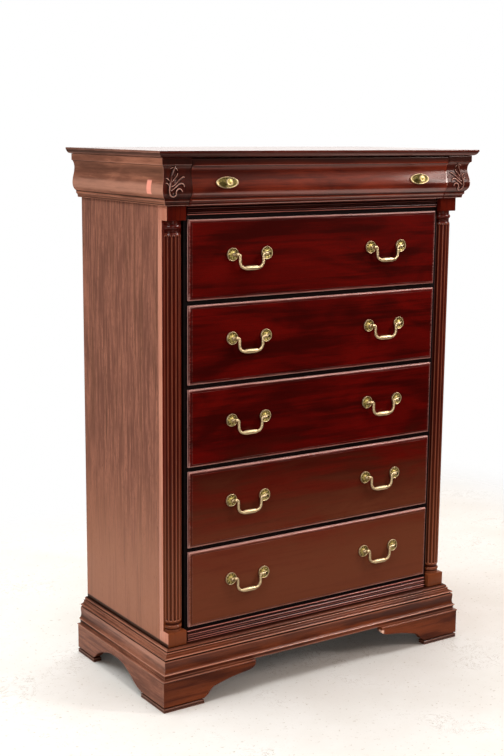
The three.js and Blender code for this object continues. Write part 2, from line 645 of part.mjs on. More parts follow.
// Radius of the bail at a point of its centre line
function bailRadius(x, z) {
  const gripHalf = BAIL_LEG_SPREAD / 2 - BAIL_CORNER_RADIUS;
  if (z > -PIN_RADIUS && Math.abs(x) > BAIL_LEG_SPREAD / 2 + BAIL_ELBOW_RADIUS / 2) {
    return PIN_RADIUS;
  }
  if (Math.abs(x) > gripHalf) {
    return BAIL_LEG_RADIUS;
  }
  const along = (x / gripHalf + 1) / 2;
  const next = GRIP_SHARES.findIndex(([place]) => place >= along - ROUNDING_SHARE);
  const before = Math.max(next - 1, 0);
  const span = GRIP_SHARES[next][0] - GRIP_SHARES[before][0];
  const part = span > 0 ? (along - GRIP_SHARES[before][0]) / span : 0;
  const swell = GRIP_SHARES[before][1] + part * (GRIP_SHARES[next][1] - GRIP_SHARES[before][1]);
  return BAIL_LEG_RADIUS + swell * (BAIL_GRIP_RADIUS - BAIL_LEG_RADIUS);
}

// Straight turned rod, bent so that its stations lie on the points of a flat path in X and Z
function bentRod(points, radiusAt) {
  const spacing = STATION_SHARE * PIN_RADIUS;
  const stations = points.filter((p, i) => i === 0 || p.distanceTo(points[i - 1]) > spacing);
  const last = stations.length - 1;
  const radii = stations.map((p) => radiusAt(p.x, p.y));
  const profile = [[0, 0], ...radii.map((r, i) => [r, i]), [0, last]];
  const rod = closed(turned(profile, BAIL_STEPS));
  const place = rod.getAttribute('position');
  for (let i = 0; i < place.count; i += 1) {
    const station = Math.round(place.getZ(i));
    const from = stations[Math.max(station - 1, 0)];
    const to = stations[Math.min(station + 1, last)];
    const way = to.clone().sub(from).normalize();
    const out = place.getX(i);
    const x = stations[station].x - way.y * out;
    const z = stations[station].y + way.x * out;
    place.setXYZ(i, x, place.getY(i), z);
  }
  return rod;
}

// Oval plate and round knob, with the plate's back on y = 0 and the knob towards the front
function ovalKnob() {
  const rim = OVAL_PLATE_SHARES.map(([r, h]) => [r * OVAL_HEIGHT / 2, h * OVAL_THICKNESS]);
  const dish = rim[rim.length - 1][1];
  const plate = turnedToFront([[0, 0], ...rim, [0, dish]], OVAL_STEPS);
  const cap = KNOB_SHARES.map(([r, h]) => [r * KNOB_RADIUS, h * KNOB_PROJECTION]);
  const root = dish / 2;
  const front = cap[cap.length - 1][1];
  const knob = turnedToFront([
    [0, root], [KNOB_NECK_RADIUS, root], [KNOB_NECK_RADIUS, OVAL_THICKNESS], ...cap, [0, front],
  ], OVAL_STEPS);
  return joined(plate.scale(OVAL_WIDTH / OVAL_HEIGHT, 1, 1), knob);
}

// Face of the frieze front as projection before the case and height
function friezeFace() {
  const low = CORNICE_BOTTOM + REVEAL;
  return profileOf(CORNICE_SHARES, CORNICE_PROJECTION, low, CORNICE_TOP - FRIEZE_TOP_GAP - low);
}

// Projection of the frieze front's face at a height
function friezeProjection(z) {
  const face = friezeFace();
  const next = face.findIndex(([, level]) => level >= z);
  const [outA, levelA] = face[next - 1];
  const [outB, levelB] = face[next];
  return outA + (outB - outA) * (z - levelA) / (levelB - levelA);
}

// Least projection at which a plate leaning by an angle clears the face behind it
function platePlace(z, lean) {
  const reach = OVAL_HEIGHT / 2;
  const levels = friezeFace().map(([, level]) => level).filter((level) => Math.abs(level - z) < reach);
  const needs = [z - reach, z, z + reach, ...levels].map((level) => {
    return friezeProjection(level) + (level - z) * Math.tan(lean);
  });
  return Math.max(...needs) + SEAT_GAP;
}

// Assembly

function addPair(name, geometry, material) {
  addPiece(chest, `${name}_right`, geometry, material);
  addPiece(chest, `${name}_left`, mirrored(geometry), material);
}

addPiece(chest, 'top_board', topBoard(), mahogany);
addPair('cornice', sideCornice(), sideMahogany);
addPair('carved_block', carvedBlock(), mahogany);
addPair('side_panel', sidePanel(), sideMahogany);
addPiece(chest, 'back_panel', backPanel(), drawerWood);
addPair('corner_post', cornerPost(), mahogany);
addPiece(chest, 'base_moulding', baseMoulding(), mahogany);
addPiece(chest, 'drawer_frame', drawerFrame(), mahogany);
addPiece(chest, 'front_foot_left', frontFoot(), mahogany);
addPiece(chest, 'front_foot_right', mirrored(frontFoot()), mahogany);
addPiece(chest, 'rear_foot_left', rearFoot(), mahogany);
addPiece(chest, 'rear_foot_right', mirrored(rearFoot()), mahogany);

function addBailPull(parent, name, x, z) {
  const pull = new THREE.Group();
  pull.position.set(x, FRONT_RECESS, z);
  for (const side of [-1, 1]) {
    const outer = Math.sign(x) === side;
    const piece = addPiece(pull, `${name}_rosette_${outer ? 'outer' : 'inner'}`, rosette(-side), brass);
    piece.position.x = side * PULL_CENTRES / 2;
  }
  addPiece(pull, `${name}_bail`, bail(), brass).position.y = -PIVOT_PROJECTION;
  parent.add(pull);
}

for (let number = 1; number <= DRAWER_COUNT; number += 1) {
  const drawer = new THREE.Group();
  const boxBottom = openingBottom(number) + SEAT_GAP;
  const boxTop = openingBottom(number) + OPENING_HEIGHT - BOX_TOP_CLEARANCE;
  addPiece(drawer, `drawer_${number}_front`, drawerFront(number), mahogany);
  addPiece(drawer, `drawer_${number}_box`, drawerBox(boxBottom, boxTop), drawerWood);
  const pullZ = drawerBottom(number) + DRAWER_FRONT_HEIGHT / 2 + PULL_RISE;
  addBailPull(drawer, `drawer_${number}_left`, PULL_FROM_END - DRAWER_HALF_WIDTH, pullZ);
  addBailPull(drawer, `drawer_${number}_right`, DRAWER_HALF_WIDTH - PULL_FROM_END, pullZ);
  chest.add(drawer);
}

function addFriezeDrawer() {
  const drawer = new THREE.Group();
  const boxTop = CASE_TOP - FRIEZE_BOX_CLEARANCE;
  addPiece(drawer, 'frieze_drawer_front', friezeFront(), mahogany);
  addPiece(drawer, 'frieze_drawer_box', drawerBox(CORNICE_BOTTOM + SEAT_GAP, boxTop), drawerWood);
  const z = CORNICE_BOTTOM + KNOB_RISE;
  const drop = friezeProjection(z - OVAL_HEIGHT / 2) - friezeProjection(z + OVAL_HEIGHT / 2);
  const lean = Math.atan2(drop, OVAL_HEIGHT);
  const offset = POST_INNER_X - KNOB_FROM_END;
  for (const [side, x] of [['left', -offset], ['right', offset]]) {
    const knob = addPiece(drawer, `frieze_${side}_knob`, ovalKnob(), brass);
    knob.rotation.x = -lean;
    knob.position.set(x, -platePlace(z, lean), z);
  }
  chest.add(drawer);
}

addFriezeDrawer();

// The origin lies under the middle of the top board, which reaches furthest on every side
chest.position.y = (TOP_OVERHANG - TOP_REAR_OVERHANG - CASE_DEPTH) / 2;

const model = new THREE.Group();
model.add(chest);

export default model;
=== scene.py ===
"""A tall mahogany chest of drawers: its wood and brass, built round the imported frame."""

import math

import bpy
from mathutils import Matrix, Vector


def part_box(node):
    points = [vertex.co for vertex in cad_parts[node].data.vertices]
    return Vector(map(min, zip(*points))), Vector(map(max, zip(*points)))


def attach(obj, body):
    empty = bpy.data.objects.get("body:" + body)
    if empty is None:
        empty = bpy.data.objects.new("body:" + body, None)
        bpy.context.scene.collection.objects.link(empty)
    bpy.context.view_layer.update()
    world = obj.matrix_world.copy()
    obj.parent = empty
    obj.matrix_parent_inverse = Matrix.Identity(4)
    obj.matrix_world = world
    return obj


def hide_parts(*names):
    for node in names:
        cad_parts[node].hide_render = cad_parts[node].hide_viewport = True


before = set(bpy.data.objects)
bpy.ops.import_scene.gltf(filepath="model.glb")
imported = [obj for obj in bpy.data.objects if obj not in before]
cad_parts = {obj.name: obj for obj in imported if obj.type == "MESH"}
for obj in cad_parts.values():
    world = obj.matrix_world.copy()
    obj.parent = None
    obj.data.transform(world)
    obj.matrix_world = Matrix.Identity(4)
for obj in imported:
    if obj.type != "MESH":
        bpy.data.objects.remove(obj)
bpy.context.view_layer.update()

# Planes of the case, as the CAD has them. Metres throughout.
POST_LOW, POST_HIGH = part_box("corner_post_right")
CORNICE_LOW, CORNICE_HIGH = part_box("cornice_right")
BASE_LOW, BASE_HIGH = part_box("base_moulding")
TOP_LOW, TOP_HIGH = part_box("top_board")
FRAME_LOW, FRAME_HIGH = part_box("drawer_frame")
HALF_WIDTH = POST_HIGH.x
POST_INNER = POST_LOW.x
FRONT = POST_LOW.y
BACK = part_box("side_panel_right")[1].y
DRAWERS = (1, 2, 3, 4, 5)
SIDES = {"left": -1, "right": 1}

MERGE_DISTANCE = 0.00001
SMOOTH_ANGLE = math.radians(32)
# Longer edges than this say nothing of how sharply a surface turns
NEAR = 0.004
# Boards glued into one piece overlap a little, and faces that would coincide are kept apart by a hair
OVERLAP = 0.001
HAIR = 0.0003
EASED_EDGE = 0.0008
ROUNDED_EDGE = 0.001
CORNICE_PROJECTION = 0.028
BASE_PROJECTION = 0.0273
TOP_PROJECTION = 0.042


# Mouldings: each point gives shares of the projection and of the height, from the bottom up

def curve(*points, steps=5):
    """Points along a smooth line through the given ones."""
    first = [2 * a - b for a, b in zip(points[0], points[1])]
    last = [2 * a - b for a, b in zip(points[-1], points[-2])]
    knots = [first, *points, last]
    line = []
    for i in range(1, len(knots) - 2):
        p0, p1, p2, p3 = knots[i - 1:i + 3]
        for k in range(steps):
            t = k / steps
            line.append(tuple(
                (2 * b + (c - a) * t + (2 * a - 5 * b + 4 * c - d) * t * t
                 + (3 * b - a - 3 * c + d) * t ** 3) / 2
                for a, b, c, d in zip(p0, p1, p2, p3)))
    line.append(tuple(points[-1]))
    return line


CORNICE_SHARES = [
    (0.38, 0), *curve((0.395, 0.002), (0.41, 0.01), (0.41, 0.02), steps=2), (0.41, 0.035),
    *curve((0.42, 0.037), (0.435, 0.06), (0.49, 0.08), (0.55, 0.09)),
    (0.57, 0.094), (0.57, 0.15), (0.6, 0.158),
    *curve((0.62, 0.16), (0.75, 0.193), (0.88, 0.25), (0.935, 0.335), (0.9, 0.43), (0.82, 0.52), (0.75, 0.6),
           (0.715, 0.68), (0.735, 0.745), (0.8, 0.8), (0.88, 0.835), steps=4),
    (0.9, 0.845), (0.98, 0.85), (1, 0.862), (1, 0.985), (0.985, 1),
]
BASE_SHARES = [
    (0.87, 0), (0.87, 0.03), *curve((0.87, 0.05), (0.88, 0.09), (0.92, 0.135), (0.975, 0.16)),
    (1, 0.167), (1, 0.187),
    *curve((0.98, 0.195), (0.9, 0.215), (0.83, 0.25), (0.785, 0.31), (0.775, 0.38), (0.795, 0.47),
           (0.81, 0.56), (0.79, 0.643), steps=3),
    (0.64, 0.65), (0.64, 0.69),
    *curve((0.76, 0.694), (0.8, 0.706), (0.79, 0.725), (0.74, 0.748), (0.66, 0.758), steps=4),
    *curve((0.62, 0.76), (0.53, 0.778), (0.46, 0.81), (0.42, 0.845), steps=4), (0.42, 0.852), (0.44, 0.856),
    *curve((0.45, 0.862), (0.46, 0.874), (0.42, 0.886), (0.36, 0.89), steps=3), (0.23, 0.892), (0.22, 0.91),
    *curve((0.3, 0.91), (0.33, 0.93), (0.32, 0.955), (0.26, 0.975), (0.16, 1), steps=3),
]
TOP_SHARES = [
    (0.66, 0), (0.67, 0.02), *curve((0.72, 0.03), (0.8, 0.1), (0.87, 0.22), (0.93, 0.4), (0.97, 0.6)),
    (0.97, 0.64), (0.995, 0.66), (1, 0.7), (1, 0.92), (0.997, 0.98), (0.99, 1),
]


def tight(line, reach=0.0013):
    """The same line with points close to the ends of its long flats, so that edge paint, for use and a
    painted highlight, stays near their edges.
    """
    dense = []
    for a, b in zip(line, line[1:]):
        dense.append(a)
        length = math.dist(a, b)
        if length > 4 * reach:
            for share in (reach / length, 1 - reach / length):
                dense.append(tuple(p + (q - p) * share for p, q in zip(a, b)))
    return [*dense, line[-1]]


def moulding(shares, projection, low, high):
    """A moulding's face as pairs of projection and height."""
    return tight([(out * projection, low + up * (high - low)) for out, up in shares])


CORNICE_FACE = moulding(CORNICE_SHARES, CORNICE_PROJECTION, CORNICE_LOW.z, CORNICE_HIGH.z)


# Modelling

def begin():
    """Leaves nothing selected, so that an operator acts on the new piece alone."""
    bpy.ops.object.select_all(action="DESELECT")


def choose(*pieces):
    """Selects some pieces and makes the first one active."""
    begin()
    for piece in pieces:
        piece.select_set(True)
    bpy.context.view_layer.objects.active = pieces[0]


def closed(piece):
    """Merges the seams, fills the ends and turns every face outwards."""
    choose(piece)
    bpy.ops.object.mode_set(mode="EDIT")
    bpy.ops.mesh.select_all(action="SELECT")
    bpy.ops.mesh.remove_doubles(threshold=MERGE_DISTANCE)
    bpy.ops.mesh.fill_holes(sides=0)
    bpy.ops.mesh.normals_make_consistent(inside=False)
    bpy.ops.object.mode_set(mode="OBJECT")
    return piece


def rolled(stations, sides, place):
    """A grid rolled into a tube: place(station, side) gives each point, and the last side meets the first."""
    begin()
    bpy.ops.mesh.primitive_grid_add(x_subdivisions=sides, y_subdivisions=stations - 1)
    piece = bpy.context.object
    points = [place(i, j % sides) for i in range(stations) for j in range(sides + 1)]
    piece.data.vertices.foreach_set("co", [c for point in points for c in point])
    piece.data.update()
    return closed(piece)


def run(section, *ends):
    """A moulding run: each end is a function that puts a point of the section in space."""
    return rolled(len(ends), len(section), lambda i, j: ends[i](*section[j]))


def stacked(levels, plan):
    """A turned or moulded block from bottom to top: plan(level) gives each level's corners."""
    corners = [plan(level) for level in levels]
    return rolled(len(levels), len(corners[0]), lambda i, j: corners[i][j])


def board(low, high, edge=EASED_EDGE, steps=2):
    """A sawn board between two corners, with its edges rounded over."""
    begin()
    low, high = Vector(low), Vector(high)
    bpy.ops.mesh.primitive_cube_add(size=1, location=(low + high) / 2)
    bpy.ops.transform.resize(value=high - low)
    bpy.ops.object.transform_apply(location=True, rotation=True, scale=True)
    bpy.ops.object.mode_set(mode="EDIT")
    bpy.ops.mesh.select_all(action="SELECT")
    bpy.ops.mesh.bevel(offset=edge, segments=steps, affect="EDGES")
    bpy.ops.object.mode_set(mode="OBJECT")
    return bpy.context.object


def assembled(*pieces):
    """Several glued parts made one piece."""
    choose(*pieces)
    bpy.ops.object.join()
    return pieces[0]


def copied(piece, change):
    """A copy with its own mesh, moved or mirrored by a matrix."""
    copy = piece.copy()
    copy.data = piece.data.copy()
    bpy.context.scene.collection.objects.link(copy)
    copy.data.transform(change)
    if change.determinant() < 0:
        copy.data.flip_normals()
    return copy


MIRROR = Matrix.Scale(-1, 4, (1, 0, 0))


def by_height(low, high, *stops):
    """A value for each place by its height: the stops are shares of the height with their values."""

    def value(place):
        share = (place.z - low) / (high - low)
        for (a, first), (b, second) in zip(stops, stops[1:]):
            if a <= share <= b:
                return first + (second - first) * (share - a) / (b - a)
        return 0.0

    return value


def mark_edges(piece, share=lambda place: 1.0, painted_light=lambda place: 0.0):
    """Stores on each point how sharply the surface turns there: above 0 on edges, below 0 in hollows.

    Share is how much of it counts at a place. Painted light is added there, brightening or darkening whole
    bands where light or shade falls.
    """
    mesh = piece.data
    turns = [0.0] * len(mesh.vertices)
    for edge in mesh.edges:
        first, second = (mesh.vertices[i] for i in edge.vertices)
        way = second.co - first.co
        if way.length > NEAR:
            continue
        turn = (second.normal - first.normal).dot(way.normalized())
        for i in edge.vertices:
            turns[i] += turn
    turns = [turn * share(vertex.co) + painted_light(vertex.co) for turn, vertex in zip(turns, mesh.vertices)]
    layer = mesh.attributes.new("turn", "FLOAT", "POINT")
    layer.data.foreach_set("value", turns)
    return piece


def on_outer_end(face):
    """Whether a face belongs to the left or right end of the case, whose wood has another colour."""
    depth, sideways, hardly_forward = 0.0012, 0.7, 0.2
    middle, way = face.center, face.normal
    outside = abs(middle.x) > HALF_WIDTH - depth
    return outside and middle.x * way.x >= 0 and (abs(way.x) > sideways or abs(way.y) < hardly_forward)


def finished(piece, name, body, slot, finish, *nodes, end_finish=None):
    """Names a piece, shades and finishes it, and puts it on its body in place of its CAD nodes."""
    piece.name = name
    piece.data.name = name
    choose(piece)
    bpy.ops.object.shade_smooth_by_angle(angle=SMOOTH_ANGLE)
    piece.data.materials.clear()
    piece.data.materials.append(finish)
    if end_finish:
        piece.data.materials.append(end_finish)
        for face in piece.data.polygons:
            face.material_index = int(on_outer_end(face))
    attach(piece, body)
    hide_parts(*nodes)
    return piece


# Shader maths

class Wire:
    """A socket of a node tree, in which sums and products add Math nodes."""

    def __init__(self, tree, socket):
        self.tree = tree
        self.socket = socket

    def math(self, operation, *values):
        return self.tree.add("ShaderNodeMath", {"operation": operation}, dict(enumerate(values)))

    def __add__(self, other):
        return self.math("ADD", self, other)

    def __mul__(self, other):
        return self.math("MULTIPLY", self, other)

    def __sub__(self, other):
        return self.math("SUBTRACT", self, other)

    def __rsub__(self, other):
        return self.math("SUBTRACT", other, self)

    def __abs__(self):
        return self.math("ABSOLUTE", self)

    __radd__ = __add__
    __rmul__ = __mul__


class Tree:
    """A node tree that is built by calls, each of which adds one node and gives one of its outputs."""

    def __init__(self, owner):
        owner.use_nodes = True
        self.tree = owner.node_tree
        self.tree.nodes.clear()

    def add(self, kind, settings=None, values=None, out=0):
        """Adds a node with its settings and the values or links of its sockets, and gives one output."""
        node = self.tree.nodes.new(kind)
        for key, value in (settings or {}).items():
            setattr(node, key, value)
        for key, value in (values or {}).items():
            if isinstance(value, Wire):
                self.tree.links.new(value.socket, node.inputs[key])
            else:
                node.inputs[key].default_value = value
        return Wire(self, node.outputs[out]) if node.outputs else None

    def stretched(self, point, scale):
        return self.add("ShaderNodeVectorMath", {"operation": "MULTIPLY"}, {0: point, 1: scale})

    def toward(self, point, way):
        """How far a point lies along a way."""
        return self.add("ShaderNodeVectorMath", {"operation": "DOT_PRODUCT"}, {0: point, 1: way}, "Value")

    def along(self, point, letter):
        """One coordinate of a point."""
        return self.add("ShaderNodeSeparateXYZ", None, {0: point}, letter)

    def noise(self, point, scale=1.0, detail=2.0, rough=0.5, twist=0.0):
        return self.add("ShaderNodeTexNoise", None, {
            "Vector": point, "Scale": scale, "Detail": detail, "Roughness": rough, "Distortion": twist})

    def between(self, value, low, high, start=0.0, end=1.0):
        """Eases a value from low to high into the span from start to end."""
        return self.add("ShaderNodeMapRange", {"interpolation_type": "SMOOTHSTEP"}, {
            "Value": value, "From Min": low, "From Max": high, "To Min": start, "To Max": end})

    def patch(self, place, middle, reach, border=0.004):
        """1 in a box round its middle and 0 outside, eased over a border."""
        inside = 1.0
        for letter, at, half in zip("XYZ", middle, reach):
            away = abs(self.along(place, letter) - at)
            inside = self.between(away, half + border, half) * inside
        return inside

    def blend(self, first, second, share):
        """Mixes two colours, each a link or red, green and blue."""
        first, second = (paint if isinstance(paint, Wire) else (*paint, 1.0) for paint in (first, second))
        return self.add("ShaderNodeMix", {"data_type": "RGBA"}, {0: share, 6: first, 7: second}, 2)


# Wood: stained and lacquered boards, each with its grain along one axis

ALONG = {
    "x": (lambda along, across: (along, across, across)),
    "y": (lambda along, across: (across, along, across)),
    "z": (lambda along, across: (across, across, along)),
}


# Heights between which the sun has paled the chest and painted light of the pale floor falls on it, fully
# from the lower one down
FADED_AND_FLOOR_LIT_LOW, FADED_AND_FLOOR_LIT_HIGH = 0.25, 0.66
# Heights between which the feet darken towards the floor
DARKENING_LOW, DARKENING_HIGH = 0.01, 0.017
# Painted shade in the joint where a board stands on the base, a dark line full at its lower height
SEAM_LOW, SEAM_HIGH = BASE_HIGH.z + 0.0065, BASE_HIGH.z + 0.0105
SEAM_SHADE = (0.006, 0.002, 0.001)


def wood(name, deep, dark, light, wear_and_sheen_colour, axis, polish=0.5, streaks=0.5, wear_and_sheen=0.5, grainy=0.1, grain=420.0,
         crest=(0.35, 1.1), faded_and_floor_lit=None, shaded_seam=False, gloss=0.17, shine=0.1, scuffs=()):
    """Stained mahogany: the staining gathers in hollows, which also take painted shade, and edges are lighter
    from use and from a painted highlight.

    Deep is the colour of pores and hollows, dark and light those of the figure, and the fourth colour that of
    edges lightened by use and by a painted highlight. Crest says how sharp an edge begins to take that colour
    and how sharp it takes it fully. The colour for the lower part is that of wood which the sun has paled
    near the floor, where it also takes painted light of the pale floor. Each scuff is a middle, a reach along
    each axis and a bare colour.
    """
    material = bpy.data.materials.new(name)
    tree = Tree(material)
    way = ALONG[axis]
    place = tree.add("ShaderNodeTexCoord", out="Object")
    turn = tree.add("ShaderNodeAttribute", {"attribute_name": "turn"}, out="Fac")
    cloud = tree.noise(tree.stretched(place, way(3.0, 11.0)), detail=3.0, rough=0.6, twist=0.8)
    ribbon = tree.noise(tree.stretched(place, way(2.5, 60.0)), detail=4.0, rough=0.6, twist=0.3)
    fine = tree.noise(tree.stretched(place, way(12.0, grain)), rough=0.6)
    flecks = tree.noise(tree.stretched(place, way(60.0, 1400.0)), detail=1.0)
    figure = cloud * (0.6 - grainy) + ribbon * 0.4 + fine * grainy
    shade = tree.blend(dark, light, tree.between(figure, 0.41, 0.59))
    height = tree.along(place, "Z")
    sharp = streaks
    if faded_and_floor_lit:
        # Lighter and browner towards the floor: wood paled by the sun, and painted light of the pale floor
        faded_and_floor_lit_share = tree.between(height + (cloud - 0.5) * 0.3, FADED_AND_FLOOR_LIT_HIGH, FADED_AND_FLOOR_LIT_LOW)
        shade = tree.blend(shade, faded_and_floor_lit, faded_and_floor_lit_share * 0.9)
        sharp = streaks * (1 - faded_and_floor_lit_share * 0.6)
    pore = tree.between(flecks, 0.54, 0.7) * tree.between(fine, 0.4, 0.62)
    streak = tree.between(ribbon, 0.52, 0.66)
    shade = tree.blend(shade, deep, pore * sharp)
    shade = tree.blend(shade, deep, streak * sharp * 0.6)
    # Hollows take the deep colour: staining gathered there, and painted shade in creases
    hollow = tree.between(turn, -0.1, -0.5)
    raised = tree.between(turn, 0.04, 0.4)
    # Sharp edges are lightened by use and by a painted highlight
    edge = tree.between(turn + (fine - 0.5) * 0.4, *crest)
    shade = tree.blend(shade, deep, hollow * 0.9)
    shade = tree.blend(shade, deep, tree.between(height + (cloud - 0.5) * 0.01, DARKENING_HIGH, DARKENING_LOW) * 0.7)
    shade = tree.blend(shade, wear_and_sheen_colour, edge * wear_and_sheen)
    for middle, reach, bare in scuffs:
        shade = tree.blend(shade, bare, tree.patch(place, middle, reach) * tree.between(fine, 0.15, 0.45))
    # Painted shade in the joint above the base
    if shaded_seam:
        shade = tree.blend(shade, SEAM_SHADE, tree.between(height, SEAM_HIGH, SEAM_LOW) * 0.9)
    bump = tree.add("ShaderNodeBump", None, {
        "Strength": 1.0, "Distance": 0.00003, "Height": fine * 0.4 + ribbon * 1.5 - pore * 0.6})
    shader = tree.add("ShaderNodeBsdfPrincipled", None, {
        "Base Color": shade, "Roughness": 0.38 + 0.1 * (cloud - 0.5) + 0.1 * pore,
        "Specular IOR Level": shine, "Specular Tint": (1, 0.5, 0.35, 1),
        "Coat Weight": (0.12 + 0.48 * raised) * (1 - 0.7 * hollow) * polish, "Coat Roughness": gloss,
        "Normal": bump})
    tree.add("ShaderNodeOutputMaterial", None, {"Surface": shader})
    return material


def dull_wood(name, dark, light, axis, roughness, shine):
    """Unpolished wood, for the parts that are mostly out of sight."""
    material = bpy.data.materials.new(name)
    tree = Tree(material)
    way = ALONG[axis]
    place = tree.add("ShaderNodeTexCoord", out="Object")
    ribbon = tree.noise(tree.stretched(place, way(2.0, 40.0)), detail=4.0, rough=0.6, twist=0.3)
    fine = tree.noise(tree.stretched(place, way(10.0, 380.0)), rough=0.6)
    shade = tree.blend(dark, light, tree.between(ribbon * 0.7 + fine * 0.3, 0.36, 0.64))
    bump = tree.add("ShaderNodeBump", None, {"Strength": 1.0, "Distance": 0.00008, "Height": fine + ribbon})
    shader = tree.add("ShaderNodeBsdfPrincipled", None, {
        "Base Color": shade, "Roughness": roughness + 0.1 * (fine - 0.5), "Specular IOR Level": shine,
        "Normal": bump})
    tree.add("ShaderNodeOutputMaterial", None, {"Surface": shader})
    return material


CORNICE_SCUFF = ((-0.48, -0.167, 1.3135), (0.012, 0.009, 0.0145), (0.9, 0.34, 0.25))
BRACKET_SCUFF = ((0.2145, -0.239, 0.0705), (0.003, 0.01, 0.0035), (0.62, 0.38, 0.28))

# The fourth colour of each wood is that of its edges, lightened by use and by a painted highlight
drawer_wood = wood("red mahogany drawer fronts", (0.012, 0.0004, 0.0003), (0.022, 0.0005, 0.0003),
                   (0.066, 0.001, 0.0005), (0.52, 0.27, 0.23), "x", polish=0.35, wear_and_sheen=0.85,
                   crest=(0.15, 0.65), faded_and_floor_lit=(0.1, 0.026, 0.011), shine=0.05)
top_wood = wood("red mahogany top board", (0.005, 0.0003, 0.0002), (0.025, 0.0016, 0.0007),
                (0.055, 0.005, 0.0018), (0.3, 0.12, 0.085), "x", polish=0.8, wear_and_sheen=0.6, crest=(0.6, 1.4))
post_wood = wood("red mahogany posts", (0.015, 0.0005, 0.0003), (0.036, 0.0016, 0.0007),
                 (0.077, 0.0055, 0.0016), (0.3, 0.1, 0.05), "z", polish=0.6, wear_and_sheen=0.55,
                 faded_and_floor_lit=(0.12, 0.03, 0.01))
panel_wood = wood("brown mahogany side panels", (0.07, 0.028, 0.016), (0.155, 0.06, 0.041),
                  (0.34, 0.137, 0.09), (0.4, 0.15, 0.08), "z", polish=0.2, streaks=1.0, grainy=0.45,
                  grain=150.0, faded_and_floor_lit=(0.335, 0.139, 0.08), shaded_seam=True)
cornice_wood = wood("brown mahogany side cornices", (0.02, 0.006, 0.003), (0.17, 0.061, 0.036),
                    (0.355, 0.14, 0.084), (0.54, 0.27, 0.19), "y", polish=0.3, streaks=0.4, grainy=0.3,
                    grain=150.0, scuffs=[CORNICE_SCUFF])
top_end_wood = wood("dull brown ends of the top board", (0.02, 0.006, 0.003), (0.11, 0.046, 0.032),
                    (0.23, 0.1, 0.072), (0.45, 0.24, 0.18), "y", polish=0.3, streaks=0.4, grainy=0.3,
                    grain=150.0)
post_end_wood = wood("salmon brown post sides", (0.24, 0.08, 0.045), (0.45, 0.17, 0.11), (0.61, 0.275, 0.19),
                     (0.66, 0.32, 0.2), "z", polish=0.2, shaded_seam=True)
strip_wood = wood("red mahogany strips", (0.003, 0.0003, 0.0002), (0.012, 0.0007, 0.0004),
                  (0.036, 0.0024, 0.001), (0.55, 0.18, 0.14), "x", wear_and_sheen=0.9, crest=(0.3, 1.0))
base_end_wood = wood("brown sides of the base", (0.015, 0.005, 0.003), (0.13, 0.046, 0.028),
                     (0.29, 0.113, 0.068), (0.54, 0.26, 0.18), "y", polish=0.3, grainy=0.3, grain=150.0)
base_wood = wood("reddish brown base mahogany", (0.005, 0.0006, 0.0004), (0.035, 0.0065, 0.0026),
                 (0.12, 0.026, 0.0083), (0.4, 0.17, 0.11), "x", wear_and_sheen=0.65, crest=(0.4, 1.2),
                 scuffs=[BRACKET_SCUFF])
frieze_wood = wood("red mahogany frieze", (0.004, 0.0003, 0.0002), (0.03, 0.002, 0.0008),
                   (0.11, 0.0115, 0.0034), (0.4, 0.2, 0.15), "x", polish=0.9, wear_and_sheen=0.8, crest=(0.3, 1.0),
                   gloss=0.11)
carved_wood = wood("carved mahogany", (0.002, 0.0003, 0.0002), (0.01, 0.0008, 0.0005), (0.04, 0.0035, 0.0013),
                   (0.42, 0.2, 0.15), "z", polish=0.6, wear_and_sheen=0.7, crest=(0.25, 1.0), gloss=0.09)
# The frame is near black: painted shade where it stands back behind the drawer fronts
frame_wood = dull_wood("near black frame painted as shade", (0.001, 0.0004, 0.0004), (0.004, 0.001, 0.001), "x", 0.6,
                       0.05)
box_wood = dull_wood("pale drawer sides", (0.42, 0.28, 0.15), (0.6, 0.45, 0.28), "y", 0.5, 0.4)
back_wood = dull_wood("brown back board", (0.22, 0.13, 0.075), (0.4, 0.26, 0.15), "z", 0.6, 0.4)


def brass_finish():
    """Old brass: pale where handling has polished it, yellow in the dishes and dark where polish has dried.
    """
    material = bpy.data.materials.new("aged brass")
    tree = Tree(material)
    place = tree.add("ShaderNodeTexCoord", out="Object")
    hollow = tree.add("ShaderNodeAttribute", {"attribute_name": "hollow"}, out="Fac")
    spots = tree.noise(place, 260.0, detail=3.0, rough=0.6)
    film = tree.noise(place, 900.0)
    age = hollow + (spots - 0.5) * 0.4
    shade = tree.blend((0.47, 0.355, 0.205), (0.38, 0.3, 0.1), tree.between(age, 0.15, 0.45))
    shade = tree.blend(shade, (0.06, 0.045, 0.01), tree.between(age, 0.5, 0.8))
    bump = tree.add("ShaderNodeBump", None, {"Strength": 0.6, "Distance": 0.00006, "Height": film})
    shader = tree.add("ShaderNodeBsdfPrincipled", None, {
        "Base Color": shade, "Metallic": 1.0 - 0.3 * tree.between(age, 0.6, 1.0),
        "Roughness": 0.38 + 0.16 * tree.between(age, 0.3, 0.9) + 0.1 * spots, "Normal": bump})
    tree.add("ShaderNodeOutputMaterial", None, {"Surface": shader})
    return material


brass = brass_finish()


def mark_hollows(piece, depth):
    """Stores how deep in a hollow each point lies, for the brass's patina."""
    values = [depth(vertex.co) for vertex in piece.data.vertices]
    layer = piece.data.attributes.new("hollow", "FLOAT", "POINT")
    layer.data.foreach_set("value", values)


# Top board, cornice and base

def plan_of_case(out, height, back):
    """The case's outline from above, grown by the moulding's projection on the front and both ends."""
    side = HALF_WIDTH + out
    return [(-side, FRONT - out, height), (side, FRONT - out, height),
            (side, back, height), (-side, back, height)]


